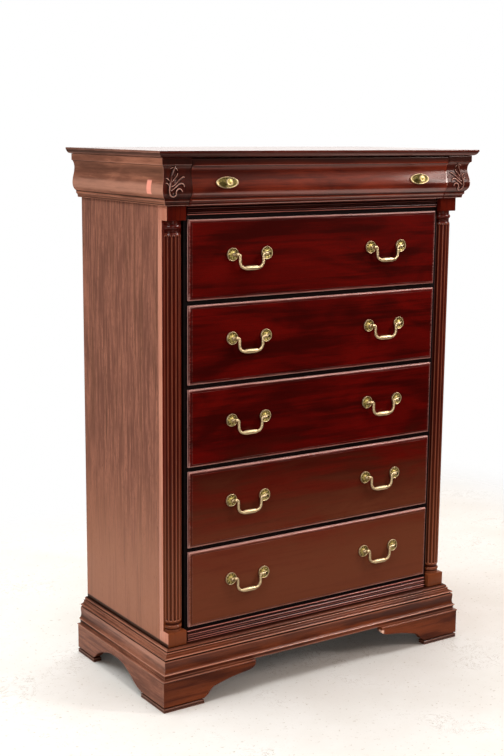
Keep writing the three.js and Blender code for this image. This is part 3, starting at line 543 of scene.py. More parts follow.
def make_top_board():
    # The lower bead takes a painted reflection of the pale floor
    lower_bead, bead_reflection = TOP_LOW.z + 0.005, 6.0
    face = moulding(TOP_SHARES, TOP_PROJECTION, TOP_LOW.z, TOP_HIGH.z)
    piece = stacked(face, lambda level: plan_of_case(*level, TOP_HIGH.y))
    # Painted shade darkens the moulding above the lower bead and the face above it
    painted_light = by_height(TOP_LOW.z, TOP_HIGH.z, (0, 0), (0.12, 0), (0.25, -0.45), (0.62, -0.45), (0.66, -0.25),
                     (1, -0.25))
    mark_edges(piece, lambda place: bead_reflection if place.z < lower_bead else 1.0, painted_light)
    finished(piece, "moulded_top_board", "case", "top_mahogany", top_wood, "top_board",
             end_finish=top_end_wood)


def make_cornice():
    backing = CORNICE_LOW.x - HALF_WIDTH
    section = [(backing, CORNICE_LOW.z), *CORNICE_FACE, (backing, CORNICE_HIGH.z)]
    right = run(section, lambda out, z: (HALF_WIDTH + out, BACK, z),
                lambda out, z: (HALF_WIDTH + out, FRONT - out, z))
    # Painted light along the bulge and painted shade in the hollow above it
    painted_light = by_height(CORNICE_LOW.z, CORNICE_HIGH.z, (0.18, 0), (0.27, 0.9), (0.42, 0.9), (0.52, 0.1),
                     (0.6, -0.18), (0.78, -0.18), (0.83, 0))
    mark_edges(right, painted_light=painted_light)
    left = copied(right, MIRROR)
    finished(right, "side_cornice_right", "case", "side_mahogany", cornice_wood, "cornice_right")
    finished(left, "side_cornice_left", "case", "side_mahogany", cornice_wood, "cornice_left")


def make_base_moulding():
    """A run round all four sides, with points just behind the front corners, where the ends change colour and
    painted light.
    """
    width, behind = 0.04, 0.003
    face = moulding(BASE_SHARES, BASE_PROJECTION, BASE_LOW.z, BASE_HIGH.z)
    section = [(-width, BASE_LOW.z), *face, (-width, BASE_HIGH.z)]

    def front_corner(side, back=0.0):
        return lambda out, z: (side * (HALF_WIDTH + out), FRONT - out + back, z)

    def rear_corner(side):
        return lambda out, z: (side * (HALF_WIDTH + out), BACK - (width if out < 0 else 0), z)

    piece = run(section, front_corner(-1), front_corner(1), front_corner(1, behind), rear_corner(1),
                rear_corner(-1), front_corner(-1, behind), front_corner(-1))
    # Painted light and shade band by band, one set for the front and one for the ends: beads and edges
    # brightened, hollows and the top bead darkened
    front_painted_light = by_height(BASE_LOW.z, BASE_HIGH.z, (0, -0.4), (0.15, -0.4), (0.17, -0.1), (0.19, 0.3),
                         (0.21, 0.1), (0.24, -0.43), (0.64, -0.43), (0.69, 0), (0.7, 0.1), (0.73, 0.2),
                         (0.75, -0.2), (0.78, -0.4), (0.85, -0.4), (0.86, 0.1), (0.88, 0.1), (0.89, -0.2),
                         (0.91, -0.5), (1, -0.7))
    side_painted_light = by_height(BASE_LOW.z, BASE_HIGH.z, (0, -0.5), (0.13, -0.4), (0.16, 0.2), (0.2, 0.2),
                        (0.3, -0.35), (0.42, -0.2), (0.55, 0.4), (0.62, 0.05), (0.66, -0.25), (0.76, -0.25),
                        (0.8, -0.1), (0.97, -0.1), (0.98, -0.6), (1, -0.8))

    def painted_light(place):
        mitre = FRONT - (abs(place.x) - HALF_WIDTH)
        return (front_painted_light if place.y < mitre + behind / 2 else side_painted_light)(place)

    finished(mark_edges(piece, painted_light=painted_light), "base_moulding_run", "case", "base_mahogany", base_wood,
             "base_moulding", end_finish=base_end_wood)


# Carved blocks: an acanthus scroll on the cornice over each column

MM = 0.001
PER_METRE = 1000
# Each ridge is its height and a line of points, across, up and half width, in mm on the right-hand block
RIDGES = [
    (3.8, [(448, 1364, 1.6), (450.5, 1355, 2.6), (453, 1346, 3.4), (456.5, 1337, 3.8), (460.5, 1327, 3.7),
           (464, 1317, 3.3), (465.6, 1307, 2.9), (463.6, 1299, 2.6), (458, 1294.6, 2.4), (451, 1293.6, 2.2),
           (446.6, 1297.5, 2), (447.3, 1303, 2.1), (445, 1308.4, 2.4), (439.6, 1310.8, 2.5),
           (433.8, 1309.4, 2.2), (430.5, 1305, 1.7)]),
    (1.6, [(448, 1357, 3), (449, 1347, 5), (450, 1337, 7), (452, 1327, 8), (454, 1317, 8), (455, 1308, 6),
           (454, 1301, 4)]),
    (3.0, [(459, 1316, 2), (453, 1318.5, 2.4), (446.5, 1323, 2.9), (439, 1329.5, 3.2), (432, 1335, 3.1),
           (426, 1338, 2.6), (422, 1337.6, 1.5)]),
    (2.8, [(457.5, 1327, 2), (452.5, 1331, 2.4), (447, 1336.5, 2.8), (442, 1341.5, 2.7),
           (439.5, 1346.5, 1.6)]),
    (3.0, [(459.5, 1307, 1.8), (453.5, 1311.5, 2.2), (446, 1316.6, 2.6), (438.6, 1321.6, 3.0),
           (431, 1322.8, 2.7), (425.6, 1319.6, 2), (424.4, 1315.6, 1.3)]),
    (2.0, [(463.5, 1330, 1.4), (467.5, 1334.5, 2), (471, 1335.6, 1.3)]),
    (2.0, [(466, 1319.6, 1.4), (470, 1324, 2), (473.5, 1323.6, 1.2)]),
    (2.0, [(449, 1358, 1.4), (453.5, 1361, 2), (458, 1359, 1.2)]),
    (2.0, [(447, 1360, 1.4), (442.5, 1357.8, 1.8), (440.5, 1353.8, 1.2)]),
]


def strokes(lines):
    """The straight parts of each line, smoothed, with the height they give."""
    return [(height, a, b) for height, line in lines for smooth in [curve(*line, steps=3)]
            for a, b in zip(smooth, smooth[1:])]


def rise(x, z, parts):
    """Height at a point of the highest rounded ridge over it."""
    fullness = 0.8
    best = 0.0
    for height, (ax, az, ar), (bx, bz, br) in parts:
        dx, dz = bx - ax, bz - az
        share = min(1.0, max(0.0, ((x - ax) * dx + (z - az) * dz) / (dx * dx + dz * dz)))
        away = math.hypot(x - ax - share * dx, z - az - share * dz) / (ar + (br - ar) * share)
        if away < 1:
            best = max(best, height * math.cos(math.pi / 2 * away) ** fullness)
    return best


def beside(z, parts):
    """The parts of the ridges that reach a height."""
    return [part for part in parts
            if min(up - half for _, up, half in part[1:]) < z < max(up + half for _, up, half in part[1:])]


def carved_block(shift):
    """The right-hand block, with its scroll moved sideways by a number of millimetres."""
    spacing, count = 0.0007, 126
    fine = []
    for (out_a, z_a), (out_b, z_b) in zip(CORNICE_FACE, CORNICE_FACE[1:]):
        pieces = max(1, round(math.hypot(out_b - out_a, z_b - z_a) / spacing))
        fine += [(out_a + (out_b - out_a) * k / pieces, z_a + (z_b - z_a) * k / pieces)
                 for k in range(pieces)]
    fine.append(CORNICE_FACE[-1])
    backing = CORNICE_LOW.x - HALF_WIDTH
    section = [(backing, CORNICE_LOW.z), *fine, (backing, CORNICE_HIGH.z)]
    last = len(section) - 1
    ridges = strokes(RIDGES)
    near = [beside(z * PER_METRE, ridges) for _, z in section]

    def place(i, j):
        out, z = section[j]
        x = POST_INNER + i / (count - 1) * (HALF_WIDTH + out - POST_INNER)
        if j in (0, last):
            return x, FRONT - out, z
        before, after = section[max(j - 1, 1)], section[min(j + 1, last - 1)]
        length = math.hypot(after[0] - before[0], after[1] - before[1])
        height = rise(x * PER_METRE - shift, z * PER_METRE, near[j]) * MM
        return (x, FRONT - out - height * (after[1] - before[1]) / length,
                z + height * (before[0] - after[0]) / length)

    inner_edge = POST_INNER + ROUNDED_EDGE
    # Painted shade over the hollow and the fillet under the top board; the inner edge gets no edge paint
    painted_shade_bands = by_height(CORNICE_LOW.z, CORNICE_HIGH.z, (0.5, 0), (0.62, -0.15), (0.84, -0.15), (0.86, -0.35),
                       (1, -0.35))
    return mark_edges(rolled(count, len(section), place), lambda at: float(at.x >= inner_edge), painted_shade_bands)


def make_carved_blocks():
    right_shift = -8.0
    finished(carved_block(right_shift), "acanthus_block_right", "case", "case_mahogany", carved_wood,
             "carved_block_right")
    mirrored = carved_block(0.0)
    left = copied(mirrored, MIRROR)
    bpy.data.objects.remove(mirrored)
    finished(left, "acanthus_block_left", "case", "case_mahogany", carved_wood, "carved_block_left")


# Corner posts: two square blocks, and a fluted half column on a recessed bed between them

COLUMN_X = 0.430
COLUMN_Y = -0.181
SHAFT_RADIUS = 0.0235
COLUMN_BACK = -0.172
BED_FRONT = -0.183
LOWER_BLOCK_TOP = 0.1948
UPPER_BLOCK_BOTTOM = 1.234
COLUMN_BASE_SHARES = [
    (0.95, 0), (0.97, 0.03), (0.97, 0.2), (0.9, 0.22), (0.88, 0.26),
    *curve((0.9, 0.29), (1, 0.35), (1.04, 0.46), (1, 0.57), (0.9, 0.63)), (0.85, 0.66), (0.84, 0.76),
    *curve((0.86, 0.8), (0.93, 0.87), (0.95, 0.92), (0.99, 0.98), steps=3),
]
COLUMN_CAP_SHARES = [
    (0.88, 0), (0.88, 0.24), *curve((0.9, 0.28), (0.99, 0.33), (1.04, 0.43), (1, 0.54), (0.9, 0.6)),
    (0.84, 0.63), (0.83, 0.8), *curve((0.86, 0.84), (0.94, 0.88), (0.99, 0.98), steps=3),
]
COLUMN_BASE_HEIGHT = 0.028
COLUMN_CAP_HEIGHT = 0.035
FLUTE_RADIUS = 0.0043
FLUTE_DEPTH = 0.0026
FLUTE_STEP = math.radians(26)
FLUTE_COUNT = 6


def flute_depth(angle, z, low, high):
    """How deep the flutes cut the shaft at an angle from the front and at a height."""
    nearest = round(angle / FLUTE_STEP - 0.5) + 0.5
    if abs(nearest) > FLUTE_COUNT / 2:
        return 0.0
    aside = (angle - nearest * FLUTE_STEP) * SHAFT_RADIUS
    beyond = max(0.0, low + FLUTE_RADIUS - z, z - high + FLUTE_RADIUS)
    reach = FLUTE_RADIUS ** 2 - aside ** 2 - beyond ** 2
    return max(0.0, math.sqrt(reach) - FLUTE_RADIUS + FLUTE_DEPTH) if reach > 0 else 0.0


def make_column():
    """The column with its base and cap, and points close together where the flutes end."""
    steps, spans, end_spans = 180, 12, 9
    margin, end_step = 0.002, 0.0006
    low = LOWER_BLOCK_TOP + COLUMN_BASE_HEIGHT
    high = UPPER_BLOCK_BOTTOM - COLUMN_CAP_HEIGHT
    base = [(r * SHAFT_RADIUS, LOWER_BLOCK_TOP + h * COLUMN_BASE_HEIGHT) for r, h in COLUMN_BASE_SHARES]
    cap = [(r * SHAFT_RADIUS, UPPER_BLOCK_BOTTOM - h * COLUMN_CAP_HEIGHT) for r, h in COLUMN_CAP_SHARES]
    flute_end = [k * end_step for k in range(end_spans)]
    shaft = [(SHAFT_RADIUS, low + margin + step) for step in flute_end]
    shaft += [(SHAFT_RADIUS, low + (high - low) * k / spans) for k in range(1, spans)]
    shaft += [(SHAFT_RADIUS, high - margin - step) for step in reversed(flute_end)]
    levels = [*base, *shaft, *reversed(cap)]

    def place(i, j):
        radius, z = levels[i]
        angle = 2 * math.pi * (j / steps - 0.5)
        if radius == SHAFT_RADIUS:
            radius -= flute_depth(angle, z, low + margin / 2, high - margin / 2)
        return (COLUMN_X + radius * math.sin(angle), min(COLUMN_Y - radius * math.cos(angle), COLUMN_BACK), z)

    return rolled(len(levels), steps, place)


def make_corner_posts():
    lower = board((POST_INNER, FRONT, POST_LOW.z), (HALF_WIDTH, POST_HIGH.y, LOWER_BLOCK_TOP),
                  ROUNDED_EDGE)
    upper = board((POST_INNER, FRONT, UPPER_BLOCK_BOTTOM), (HALF_WIDTH, POST_HIGH.y, POST_HIGH.z),
                  ROUNDED_EDGE)
    bed = board((POST_INNER, BED_FRONT, LOWER_BLOCK_TOP - OVERLAP),
                (HALF_WIDTH, POST_HIGH.y, UPPER_BLOCK_BOTTOM + OVERLAP))
    right = assembled(mark_edges(make_column()), lower, upper, bed)
    left = copied(right, MIRROR)
    finished(right, "fluted_post_right", "case", "case_mahogany", post_wood, "corner_post_right",
             end_finish=post_end_wood)
    finished(left, "fluted_post_left", "case", "case_mahogany", post_wood, "corner_post_left",
             end_finish=post_end_wood)


# Bracket feet. Each outline gives the lower edge of a bracket: a share of its reach, and a height.

FOOT_X, FOOT_Y, FOOT_TOP = -0.488, -0.239, 0.0847
NECK_TOP = 0.015
BRACKET_THICKNESS = 0.019
FRONT_REACH, SIDE_REACH, REAR_REACH, BACK_REACH = 0.277, 0.2757, 0.208, 0.16
PAD_WIDTH = 0.024
GLUE_BLOCK_WIDTH = 0.034
GLUE_BLOCK_BOTTOM = 0.0108
FRONT_OUTLINE = curve((0.43, 0.015), (0.45, 0.018), (0.473, 0.0223), (0.509, 0.034), (0.549, 0.0406),
                      (0.7, 0.051), (0.8, 0.0557), (0.93, 0.0604), (0.975, 0.0646), (1, 0.0714))
SIDE_OUTLINE = curve((0.435, 0.015), (0.504, 0.0196), (0.575, 0.028), (0.645, 0.04), (0.7, 0.047),
                     (0.786, 0.057), (0.895, 0.0608), (1, 0.0612))
REAR_OUTLINE = curve((0.452, 0.015), (0.5, 0.0221), (0.577, 0.0349), (0.673, 0.045), (0.788, 0.0527),
                     (0.87, 0.0587), (1, 0.0612))
BACK_OUTLINE = curve((0.6, 0.015), (0.66, 0.0298), (0.78, 0.0468), (0.9, 0.0561), (1, 0.0646))


def make_bracket(outline, reach, mitred, bead=True):
    """A bracket along +X from the corner, its face at y = 0 and its back inside."""
    section = [(0, FOOT_TOP), (0, NECK_TOP), *[(u * reach, z) for u, z in outline], (reach, FOOT_TOP)]

    def end(depth, inset):
        def put(u, z):
            start = u if u > MERGE_DISTANCE else (depth if mitred else 0)
            return start, depth, z + (inset if NECK_TOP < z < FOOT_TOP - MERGE_DISTANCE else 0)

        return put

    bracket = run(section, end(0, EASED_EDGE), end(EASED_EDGE, 0), end(BRACKET_THICKNESS, 0))
    if not bead:
        return [bracket]
    radius, flatness, below_top, steps = 0.0021, 0.8, 0.0022, 8
    middle = FOOT_TOP - below_top
    arc = [(radius * math.cos(a) * flatness, middle + radius * math.sin(a))
           for a in [math.pi * (k / steps - 0.5) for k in range(steps + 1)]]
    strip = [(-OVERLAP, middle - radius), *arc, (-OVERLAP, middle + radius)]
    rail = run(strip, lambda out, z: (-out if mitred else 0, -out, z), lambda out, z: (reach - HAIR, -out, z))
    lit, shaded = 0.1, -0.8
    return [bracket, mark_edges(rail, painted_light=lambda place: lit if place.z > middle - radius / 2 else shaded)]


def make_pad(pad_x, pad_y):
    """The L-shaped pad under both brackets, with a groove round it and a sunk neck above."""
    # The pad gets half the edge paint, which stands for use and a painted highlight
    wear_and_sheen_share = 0.5
    levels = [(0, 0.0012), (0.0012, 0), (0.0042, 0), (0.0048, 0.0007), (0.0054, 0.0007), (0.006, 0),
              (0.0098, 0), (0.011, 0.0012), (0.011, 0.0045), (0.0162, 0.0045)]

    def plan(level):
        z, inset = level
        inner = PAD_WIDTH - inset
        return [(inset, inset, z), (pad_x - inset, inset, z), (pad_x - inset, inner, z), (inner, inner, z),
                (inner, pad_y - inset, z), (inset, pad_y - inset, z)]

    return mark_edges(stacked(levels, plan), lambda place: wear_and_sheen_share)


SWAP = Matrix(((0, 1, 0, 0), (1, 0, 0, 0), (0, 0, 1, 0), (0, 0, 0, 1)))


def make_foot(x_outline, x_reach, y_outline, y_reach, x_bead=True):
    """Two brackets from a corner at the origin, with their pad and a glue block behind them."""
    parts = make_bracket(x_outline, x_reach, True, x_bead)
    for part in make_bracket(y_outline, y_reach, True):
        parts.append(copied(part, SWAP))
        bpy.data.objects.remove(part)
    parts.append(make_pad(x_outline[0][0] * x_reach, y_outline[0][0] * y_reach))
    inner = BRACKET_THICKNESS - OVERLAP / 2
    outer = inner + GLUE_BLOCK_WIDTH
    parts.append(board((inner, inner, GLUE_BLOCK_BOTTOM), (outer, outer, FOOT_TOP), ROUNDED_EDGE))
    return assembled(*parts)


def make_feet():
    front = make_foot(FRONT_OUTLINE, FRONT_REACH, SIDE_OUTLINE, SIDE_REACH)
    front.data.transform(Matrix.Translation((FOOT_X, FOOT_Y, 0)))
    rear = make_foot(BACK_OUTLINE, BACK_REACH, REAR_OUTLINE, REAR_REACH, x_bead=False)
    rear.data.transform(Matrix.Translation((FOOT_X, BACK, 0)) @ Matrix.Scale(-1, 4, (0, 1, 0)))
    rear.data.flip_normals()
    for kind, left in (("front", front), ("rear", rear)):
        right = copied(left, MIRROR)
        for side, piece in (("left", left), ("right", right)):
            finished(piece, f"{kind}_bracket_foot_{side}", "case", "base_mahogany", base_wood,
                     f"{kind}_foot_{side}", end_finish=base_end_wood)


# Frame round the drawers

OPENING_HALF = 0.386
FRAME_FACE = -0.1935
DRAWER_BOXES = {n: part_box(f"drawer_{n}_front") for n in DRAWERS}
LIP_OVERLAP_RAIL = 0.0041
RAIL_HEIGHT = 0.020
RAIL_BACK = -0.1335
DUST_BOARD = 0.012
BELOW_RAIL_TOP = 0.0002
GUIDE = 0.012
LOWER_STRIP_HEIGHT, UPPER_STRIP_HEIGHT = 0.0285, 0.024
STRIP_SHORT_OF_POST = 0.008


def beaded_strip(low, height, wear_and_sheen_share=1.0, painted_shade=0.0):
    """A strip with two round beads between quirks, proud of the rail it is glued to."""
    face, back, proud, sunk, eased = FRAME_FACE - 0.005, FRAME_FACE + OVERLAP, 0.0027, 0.0018, 0.0006
    steps = 8

    def flat(depth, *shares):
        return [(depth, low + height * share) for share in shares]

    def bead(start, end):
        return [(face - proud * math.sin(math.pi * k / steps),
                 low + height * (start + (end - start) * k / steps)) for k in range(steps + 1)]

    section = tight([
        *flat(back, 0), *flat(face + eased, 0), *flat(face, 0.03, 0.09), *flat(face + sunk, 0.12),
        *bead(0.15, 0.35), *flat(face + sunk, 0.38), *flat(face, 0.41, 0.5), *flat(face + sunk, 0.53),
        *bead(0.56, 0.76), *flat(face + sunk, 0.79), *flat(face, 0.82, 0.97), *flat(face + eased, 1),
        *flat(back, 1)])
    end = POST_INNER - STRIP_SHORT_OF_POST
    strip = run(section, lambda y, z: (-end, y, z), lambda y, z: (end, y, z))
    return mark_edges(strip, lambda place: wear_and_sheen_share, lambda place: painted_shade)


def frame_level(low, high):
    """A rail with its dust board and the two guides on it."""
    edge, back = FRAME_HIGH.x, FRAME_HIGH.y
    parts = [
        board((-OPENING_HALF, FRAME_FACE, low), (OPENING_HALF, RAIL_BACK, high)),
        board((-edge, POST_HIGH.y + HAIR, high - DUST_BOARD), (edge, back, high - BELOW_RAIL_TOP)),
    ]
    for side in SIDES.values():
        near, far = sorted((side * OPENING_HALF, side * (OPENING_HALF + GUIDE)))
        parts.append(board((near, FRAME_FACE + OVERLAP, high - OVERLAP), (far, back, high + GUIDE)))
    return parts


def make_drawer_frame():
    """The stiles, rails, dust boards and guides as one piece, and the two beaded strips as another."""
    # The upper strip, deep under the frieze, gets less edge paint for use and highlight, and painted shade
    # over it
    faint_wear_and_sheen, upper_strip_shade = 0.8, -0.15
    stile = POST_INNER - HAIR
    parts = []
    for side in SIDES.values():
        near, far = sorted((side * OPENING_HALF, side * stile))
        parts.append(board((near, FRAME_FACE, FRAME_LOW.z), (far, RAIL_BACK, FRAME_HIGH.z)))
    for n in DRAWERS[:-1]:
        top = DRAWER_BOXES[n][0].z + LIP_OVERLAP_RAIL
        parts += frame_level(top - RAIL_HEIGHT, top)
    lowest, highest = DRAWER_BOXES[DRAWERS[-1]], DRAWER_BOXES[DRAWERS[0]]
    parts += frame_level(FRAME_LOW.z, lowest[0].z + LIP_OVERLAP_RAIL)
    parts += frame_level(highest[1].z - LIP_OVERLAP_RAIL, CORNICE_LOW.z - HAIR)
    upper_low = CORNICE_LOW.z - (UPPER_STRIP_HEIGHT + HAIR)
    strips = assembled(beaded_strip(FRAME_LOW.z, LOWER_STRIP_HEIGHT),
                       beaded_strip(upper_low, UPPER_STRIP_HEIGHT, faint_wear_and_sheen, upper_strip_shade))
    piece = assembled(*parts)
    finished(piece, "drawer_frame_boards", "case", "frame_wood", frame_wood, "drawer_frame")
    finished(strips, "beaded_rail_strips", "case", "case_mahogany", strip_wood, "drawer_frame")


# Drawers. The lip's section gives how far in from the edge and how deep each point lies.

LIP_SECTION = [
    (0, 0.009), (0, 0.0064), (0, 0.0058),
    *curve((0.0001, 0.0052), (0.0006, 0.0036), (0.0018, 0.0022), (0.0036, 0.0014), (0.0056, 0.0012),
           (0.0068, 0.0014), steps=3),
    (0.0074, 0.0013), (0.0077, 0.0006), (0.0081, 0.0001), (0.0088, 0), (0.0098, 0), (0.012, 0),
]
DRAWER_WALL, DRAWER_FLOOR = 0.012, 0.008
BOX_EDGE = 0.0012


def make_drawer_front(n):
    """A front with a moulded lip all round, and the core that goes into the opening behind it."""
    # Shares of the edge paint, which stands for use and a painted highlight: most on the lip's outer round,
    # less on the left lip, little by the face
    face_wear_and_sheen, left_wear_and_sheen, lip_wear_and_sheen = 0.3, 0.85, 1.6
    core_edge, core_rise, core_depth = 0.0075, 0.0056, 0.0085
    low, high = DRAWER_BOXES[n]
    face = low.y
    face_depth, away = 0.0009, 0.02

    def plan(level):
        inset, depth = level
        left, right, bottom, top = low.x + inset, high.x - inset, low.z + inset, high.z - inset
        return [(x, face + depth, z) for x, z in ((left, bottom), (right, bottom), (right, top), (left, top),
                                                  (left, high.z - away), (left, low.z + away))]

    def share(place):
        if place.y < face + face_depth:
            return face_wear_and_sheen
        at_left = place.x < low.x + away / 2
        between_ends = low.z + away - NEAR / 4 < place.z < high.z - away + NEAR / 4
        return left_wear_and_sheen if at_left and between_ends else lip_wear_and_sheen

    front = mark_edges(stacked(LIP_SECTION, plan), share)
    core = board((low.x + core_edge, face + core_depth, low.z + core_rise),
                 (high.x - core_edge, high.y, high.z - core_rise))
    piece = assembled(front, core)
    finished(piece, f"lipped_drawer_front_{n}", f"drawer_{n}", "drawer_mahogany", drawer_wood,
             f"drawer_{n}_front")


def make_frieze_front():
    """The drawer front that looks like the cornice, with the core that goes into its opening."""
    lip_back = -0.194
    core_half, core_rise = 0.3845, 0.0015
    top_edge, end_wear_and_sheen = 0.003, 0.15
    bulge_low, bulge_high, left_end_shade = 1.305, 1.345, 0.6
    low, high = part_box("frieze_drawer_front")
    face = moulding(CORNICE_SHARES, CORNICE_PROJECTION, low.z, high.z)
    section = [(lip_back - FRONT, low.z), *[(-out, z) for out, z in face], (lip_back - FRONT, high.z)]

    def end(x, inset):
        return lambda depth, z: (x, FRONT + depth + (inset if depth < 0 else 0), z)

    inside = (EASED_EDGE, 2 * EASED_EDGE, 2 * NEAR)
    front = run(section, end(low.x, EASED_EDGE), *[end(low.x + step, 0) for step in inside],
                *[end(high.x - step, 0) for step in reversed(inside)], end(high.x, EASED_EDGE))
    core = board((-core_half, lip_back - OVERLAP / 2, low.z + core_rise),
                 (core_half, high.y, high.z - core_rise))
    # Painted shade over the hollow and the fillet in the top board's shadow
    painted_shade_bands = by_height(low.z, high.z, (0.5, 0), (0.62, -0.12), (0.8, -0.12), (0.86, -0.5), (1, -0.5))

    # Edge paint for use and highlight: none at the top edge and the left end, and at the right end full only
    # across the bulge, where it is a painted highlight
    def share(place):
        if place.z > high.z - top_edge or place.x < low.x + NEAR:
            return 0.0
        return 1.0 if place.x < high.x - NEAR or bulge_low < place.z < bulge_high else end_wear_and_sheen

    # The left end takes painted shade in the gap beside the block
    mark_edges(front, share, lambda place: painted_shade_bands(place) - left_end_shade * (place.x < low.x + NEAR / 4))
    finished(assembled(front, core), "hidden_frieze_front", "frieze_drawer", "case_mahogany", frieze_wood,
             "frieze_drawer_front")


def make_drawer_box(node, body, name):
    """The open box behind a drawer front: two sides, a back a little lower than them, and a bottom."""
    back_in, back_down, bottom_in = 0.0004, 0.001, 0.0002
    low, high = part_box(node)
    parts = []
    for side in SIDES.values():
        near, far = sorted((side * high.x, side * (high.x - DRAWER_WALL)))
        parts.append(board((near, low.y, low.z), (far, high.y, high.z), BOX_EDGE))
    half = high.x - DRAWER_WALL + HAIR
    parts.append(board((-half, high.y - DRAWER_WALL, low.z),
                       (half, high.y - back_in, high.z - back_down), BOX_EDGE))
    parts.append(board((-half, low.y + bottom_in, low.z),
                       (half, high.y - DRAWER_WALL + HAIR, low.z + DRAWER_FLOOR)))
    finished(assembled(*parts), name, body, "drawer_box_wood", box_wood, node)


# Brass. A profile gives the radius and height of each ring, from the back to the front.

PIVOT_OUT = 0.011
# How dark the patina is where the brass is handled and dusted
POLISHED = 0.05
ROSETTE_FACE = curve((1, 0.35), (0.998, 0.72), (0.97, 0.97), (0.93, 1), (0.885, 0.9), (0.85, 0.7), steps=3)
ROSETTE_DISH = curve((0.84, 0.62), (0.76, 0.46), (0.6, 0.34), (0.45, 0.34), (0.38, 0.42), steps=3)
PETALS = 8
# Distances of a bail's pins and collars from its middle
PIN_END, PIN_MIDDLE, PIN_START, COLLAR_START = 0.0512, 0.0478, 0.0462, 0.041
PIN_RADIUS, COLLAR_RADIUS, LEG_RADIUS = 0.0024, 0.0041, 0.0036
GRIP_HALF, GRIP_SWELL = 0.022, 0.0026
LEG_BEAD_RISE, LEG_BEAD_STEP = 0.0003, 0.0042


def make_rosette():
    """A dished rosette with a petalled bowl and a ball-headed post. Its back is at y = 0, its face to -Y."""
    radius, thickness, seat, sides = 0.0165, 0.0045, HAIR, 96
    neck, head, head_steps = 0.0038, 0.0056, 8
    petal_rise, back_points, rim_share = 0.00045, 4, 0.86
    bowl_start, bowl_width, ring, ring_width = 0.4, 0.42, 0.83, 0.06
    bowl_age, petal_age, ring_age = 0.53, 0.27, 0.4
    profile = [(0, seat), (0.8 * radius, seat), (0.985 * radius, seat + 0.0001), (radius, seat + 0.0005)]
    profile += [(r * radius, seat + h * thickness) for r, h in [*ROSETTE_FACE, *ROSETTE_DISH]]
    profile += [(0.0052, 0.0026), (neck, 0.0034), (neck, 0.0048), (0.0047, 0.0053), (0.0047, 0.006),
                (neck, 0.0064)]
    start = math.asin(neck / head)
    for k in range(head_steps + 1):
        angle = math.pi - start - (math.pi - start) * k / head_steps
        profile.append((head * math.sin(angle), PIVOT_OUT - head * math.cos(angle)))

    def petal(r, angle):
        share = (r / radius - bowl_start) / bowl_width
        return math.sin(math.pi * share) * math.cos(PETALS * angle) if 0 < share < 1 else 0.0

    def place(i, j):
        r, h = profile[i]
        angle = 2 * math.pi * j / sides
        if h < thickness and i >= back_points:
            h += petal_rise * petal(r, angle)
        return r * math.cos(angle), -h, r * math.sin(angle)

    def depth(co):
        r, angle = math.hypot(co.x, co.z), math.atan2(co.z, co.x)
        if r > rim_share * radius or -co.y > thickness:
            return POLISHED
        near_ring = max(0.0, 1 - abs(r / radius - ring) / ring_width)
        return bowl_age - petal_age * petal(r, angle) + ring_age * near_ring

    piece = rolled(len(profile), sides, place)
    mark_hollows(piece, depth)
    return piece


def bail_path():
    """Centre line of a bail in X and Z about its pivot line."""
    leg, drop, elbow, corner = 0.035, 0.035, 0.0055, 0.016
    elbow_steps, leg_steps, corner_steps, grip_steps = 8, 12, 12, 16
    half = [(-PIN_END, 0.0), (-PIN_MIDDLE, 0.0), (-PIN_START, 0.0)]
    half += [(-leg - elbow + elbow * math.sin(a), -elbow + elbow * math.cos(a))
             for a in [math.pi / 2 * k / elbow_steps for k in range(elbow_steps + 1)]]
    half += [(-leg, -elbow - (drop - corner - elbow) * k / leg_steps) for k in range(1, leg_steps)]
    half += [(-leg + corner - corner * math.cos(a), -drop + corner - corner * math.sin(a))
             for a in [math.pi / 2 * k / corner_steps for k in range(corner_steps + 1)]]
    half += [((corner - leg) * (1 - k / grip_steps), -drop) for k in range(1, grip_steps + 1)]
    return half + [(-x, z) for x, z in reversed(half[:-1])]


def bail_radius(x, travelled):
    """Radius of a bail at x from its middle. The beads follow the way travelled along its centre line."""
    fullness = 0.8
    if abs(x) > PIN_START:
        return PIN_RADIUS
    if abs(x) > COLLAR_START:
        return COLLAR_RADIUS
    if abs(x) < GRIP_HALF:
        return LEG_RADIUS + GRIP_SWELL * math.cos(math.pi / 2 * (x / GRIP_HALF) ** 2) ** fullness
    return LEG_RADIUS + LEG_BEAD_RISE * math.cos(2 * math.pi * travelled / LEG_BEAD_STEP)


def make_bail():
    """A cast bail: pins, beaded legs and a reeded grip, hanging from its pivot line along X."""
    count, sides = 170, 24
    reeds, reed_depth, reed_half, grip_top = 8, 0.00012, 0.02, -0.03
    dull_top, dullness, barely = -0.02, 0.1, 1e-9
    line = bail_path()
    ways = [0.0]
    for a, b in zip(line, line[1:]):
        ways.append(ways[-1] + math.dist(a, b))
    length = ways[-1]
    stations = []
    for k in range(count):
        target = length * k / (count - 1)
        i = max(1, next((n for n, w in enumerate(ways) if w >= target - barely), len(ways) - 1))
        share = (target - ways[i - 1]) / (ways[i] - ways[i - 1])
        (ax, az), (bx, bz) = line[i - 1], line[i]
        stations.append((ax + (bx - ax) * share, az + (bz - az) * share))
    rings = []
    for k, (x, z) in enumerate(stations):
        (ax, az), (bx, bz) = stations[max(k - 1, 0)], stations[min(k + 1, count - 1)]
        size = math.hypot(bx - ax, bz - az)
        rings.append((x, z, -(bz - az) / size, (bx - ax) / size, bail_radius(x, length * k / (count - 1))))

    def place(i, j):
        x, z, side_x, side_z, radius = rings[i]
        angle = 2 * math.pi * j / sides
        if abs(x) < reed_half and z < grip_top:
            radius -= reed_depth * (1 - math.cos(reeds * angle)) * math.cos(math.pi / 2 * x / reed_half)
        across, out = radius * math.cos(angle), radius * math.sin(angle)
        return x + side_x * across, out, z + side_z * across

    piece = rolled(count, sides, place)
    mark_hollows(piece, lambda co: POLISHED + dullness * (co.z > dull_top))
    return piece


def middle_x(node):
    """Middle of a CAD node from left to right."""
    low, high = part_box(node)
    return (low.x + high.x) / 2


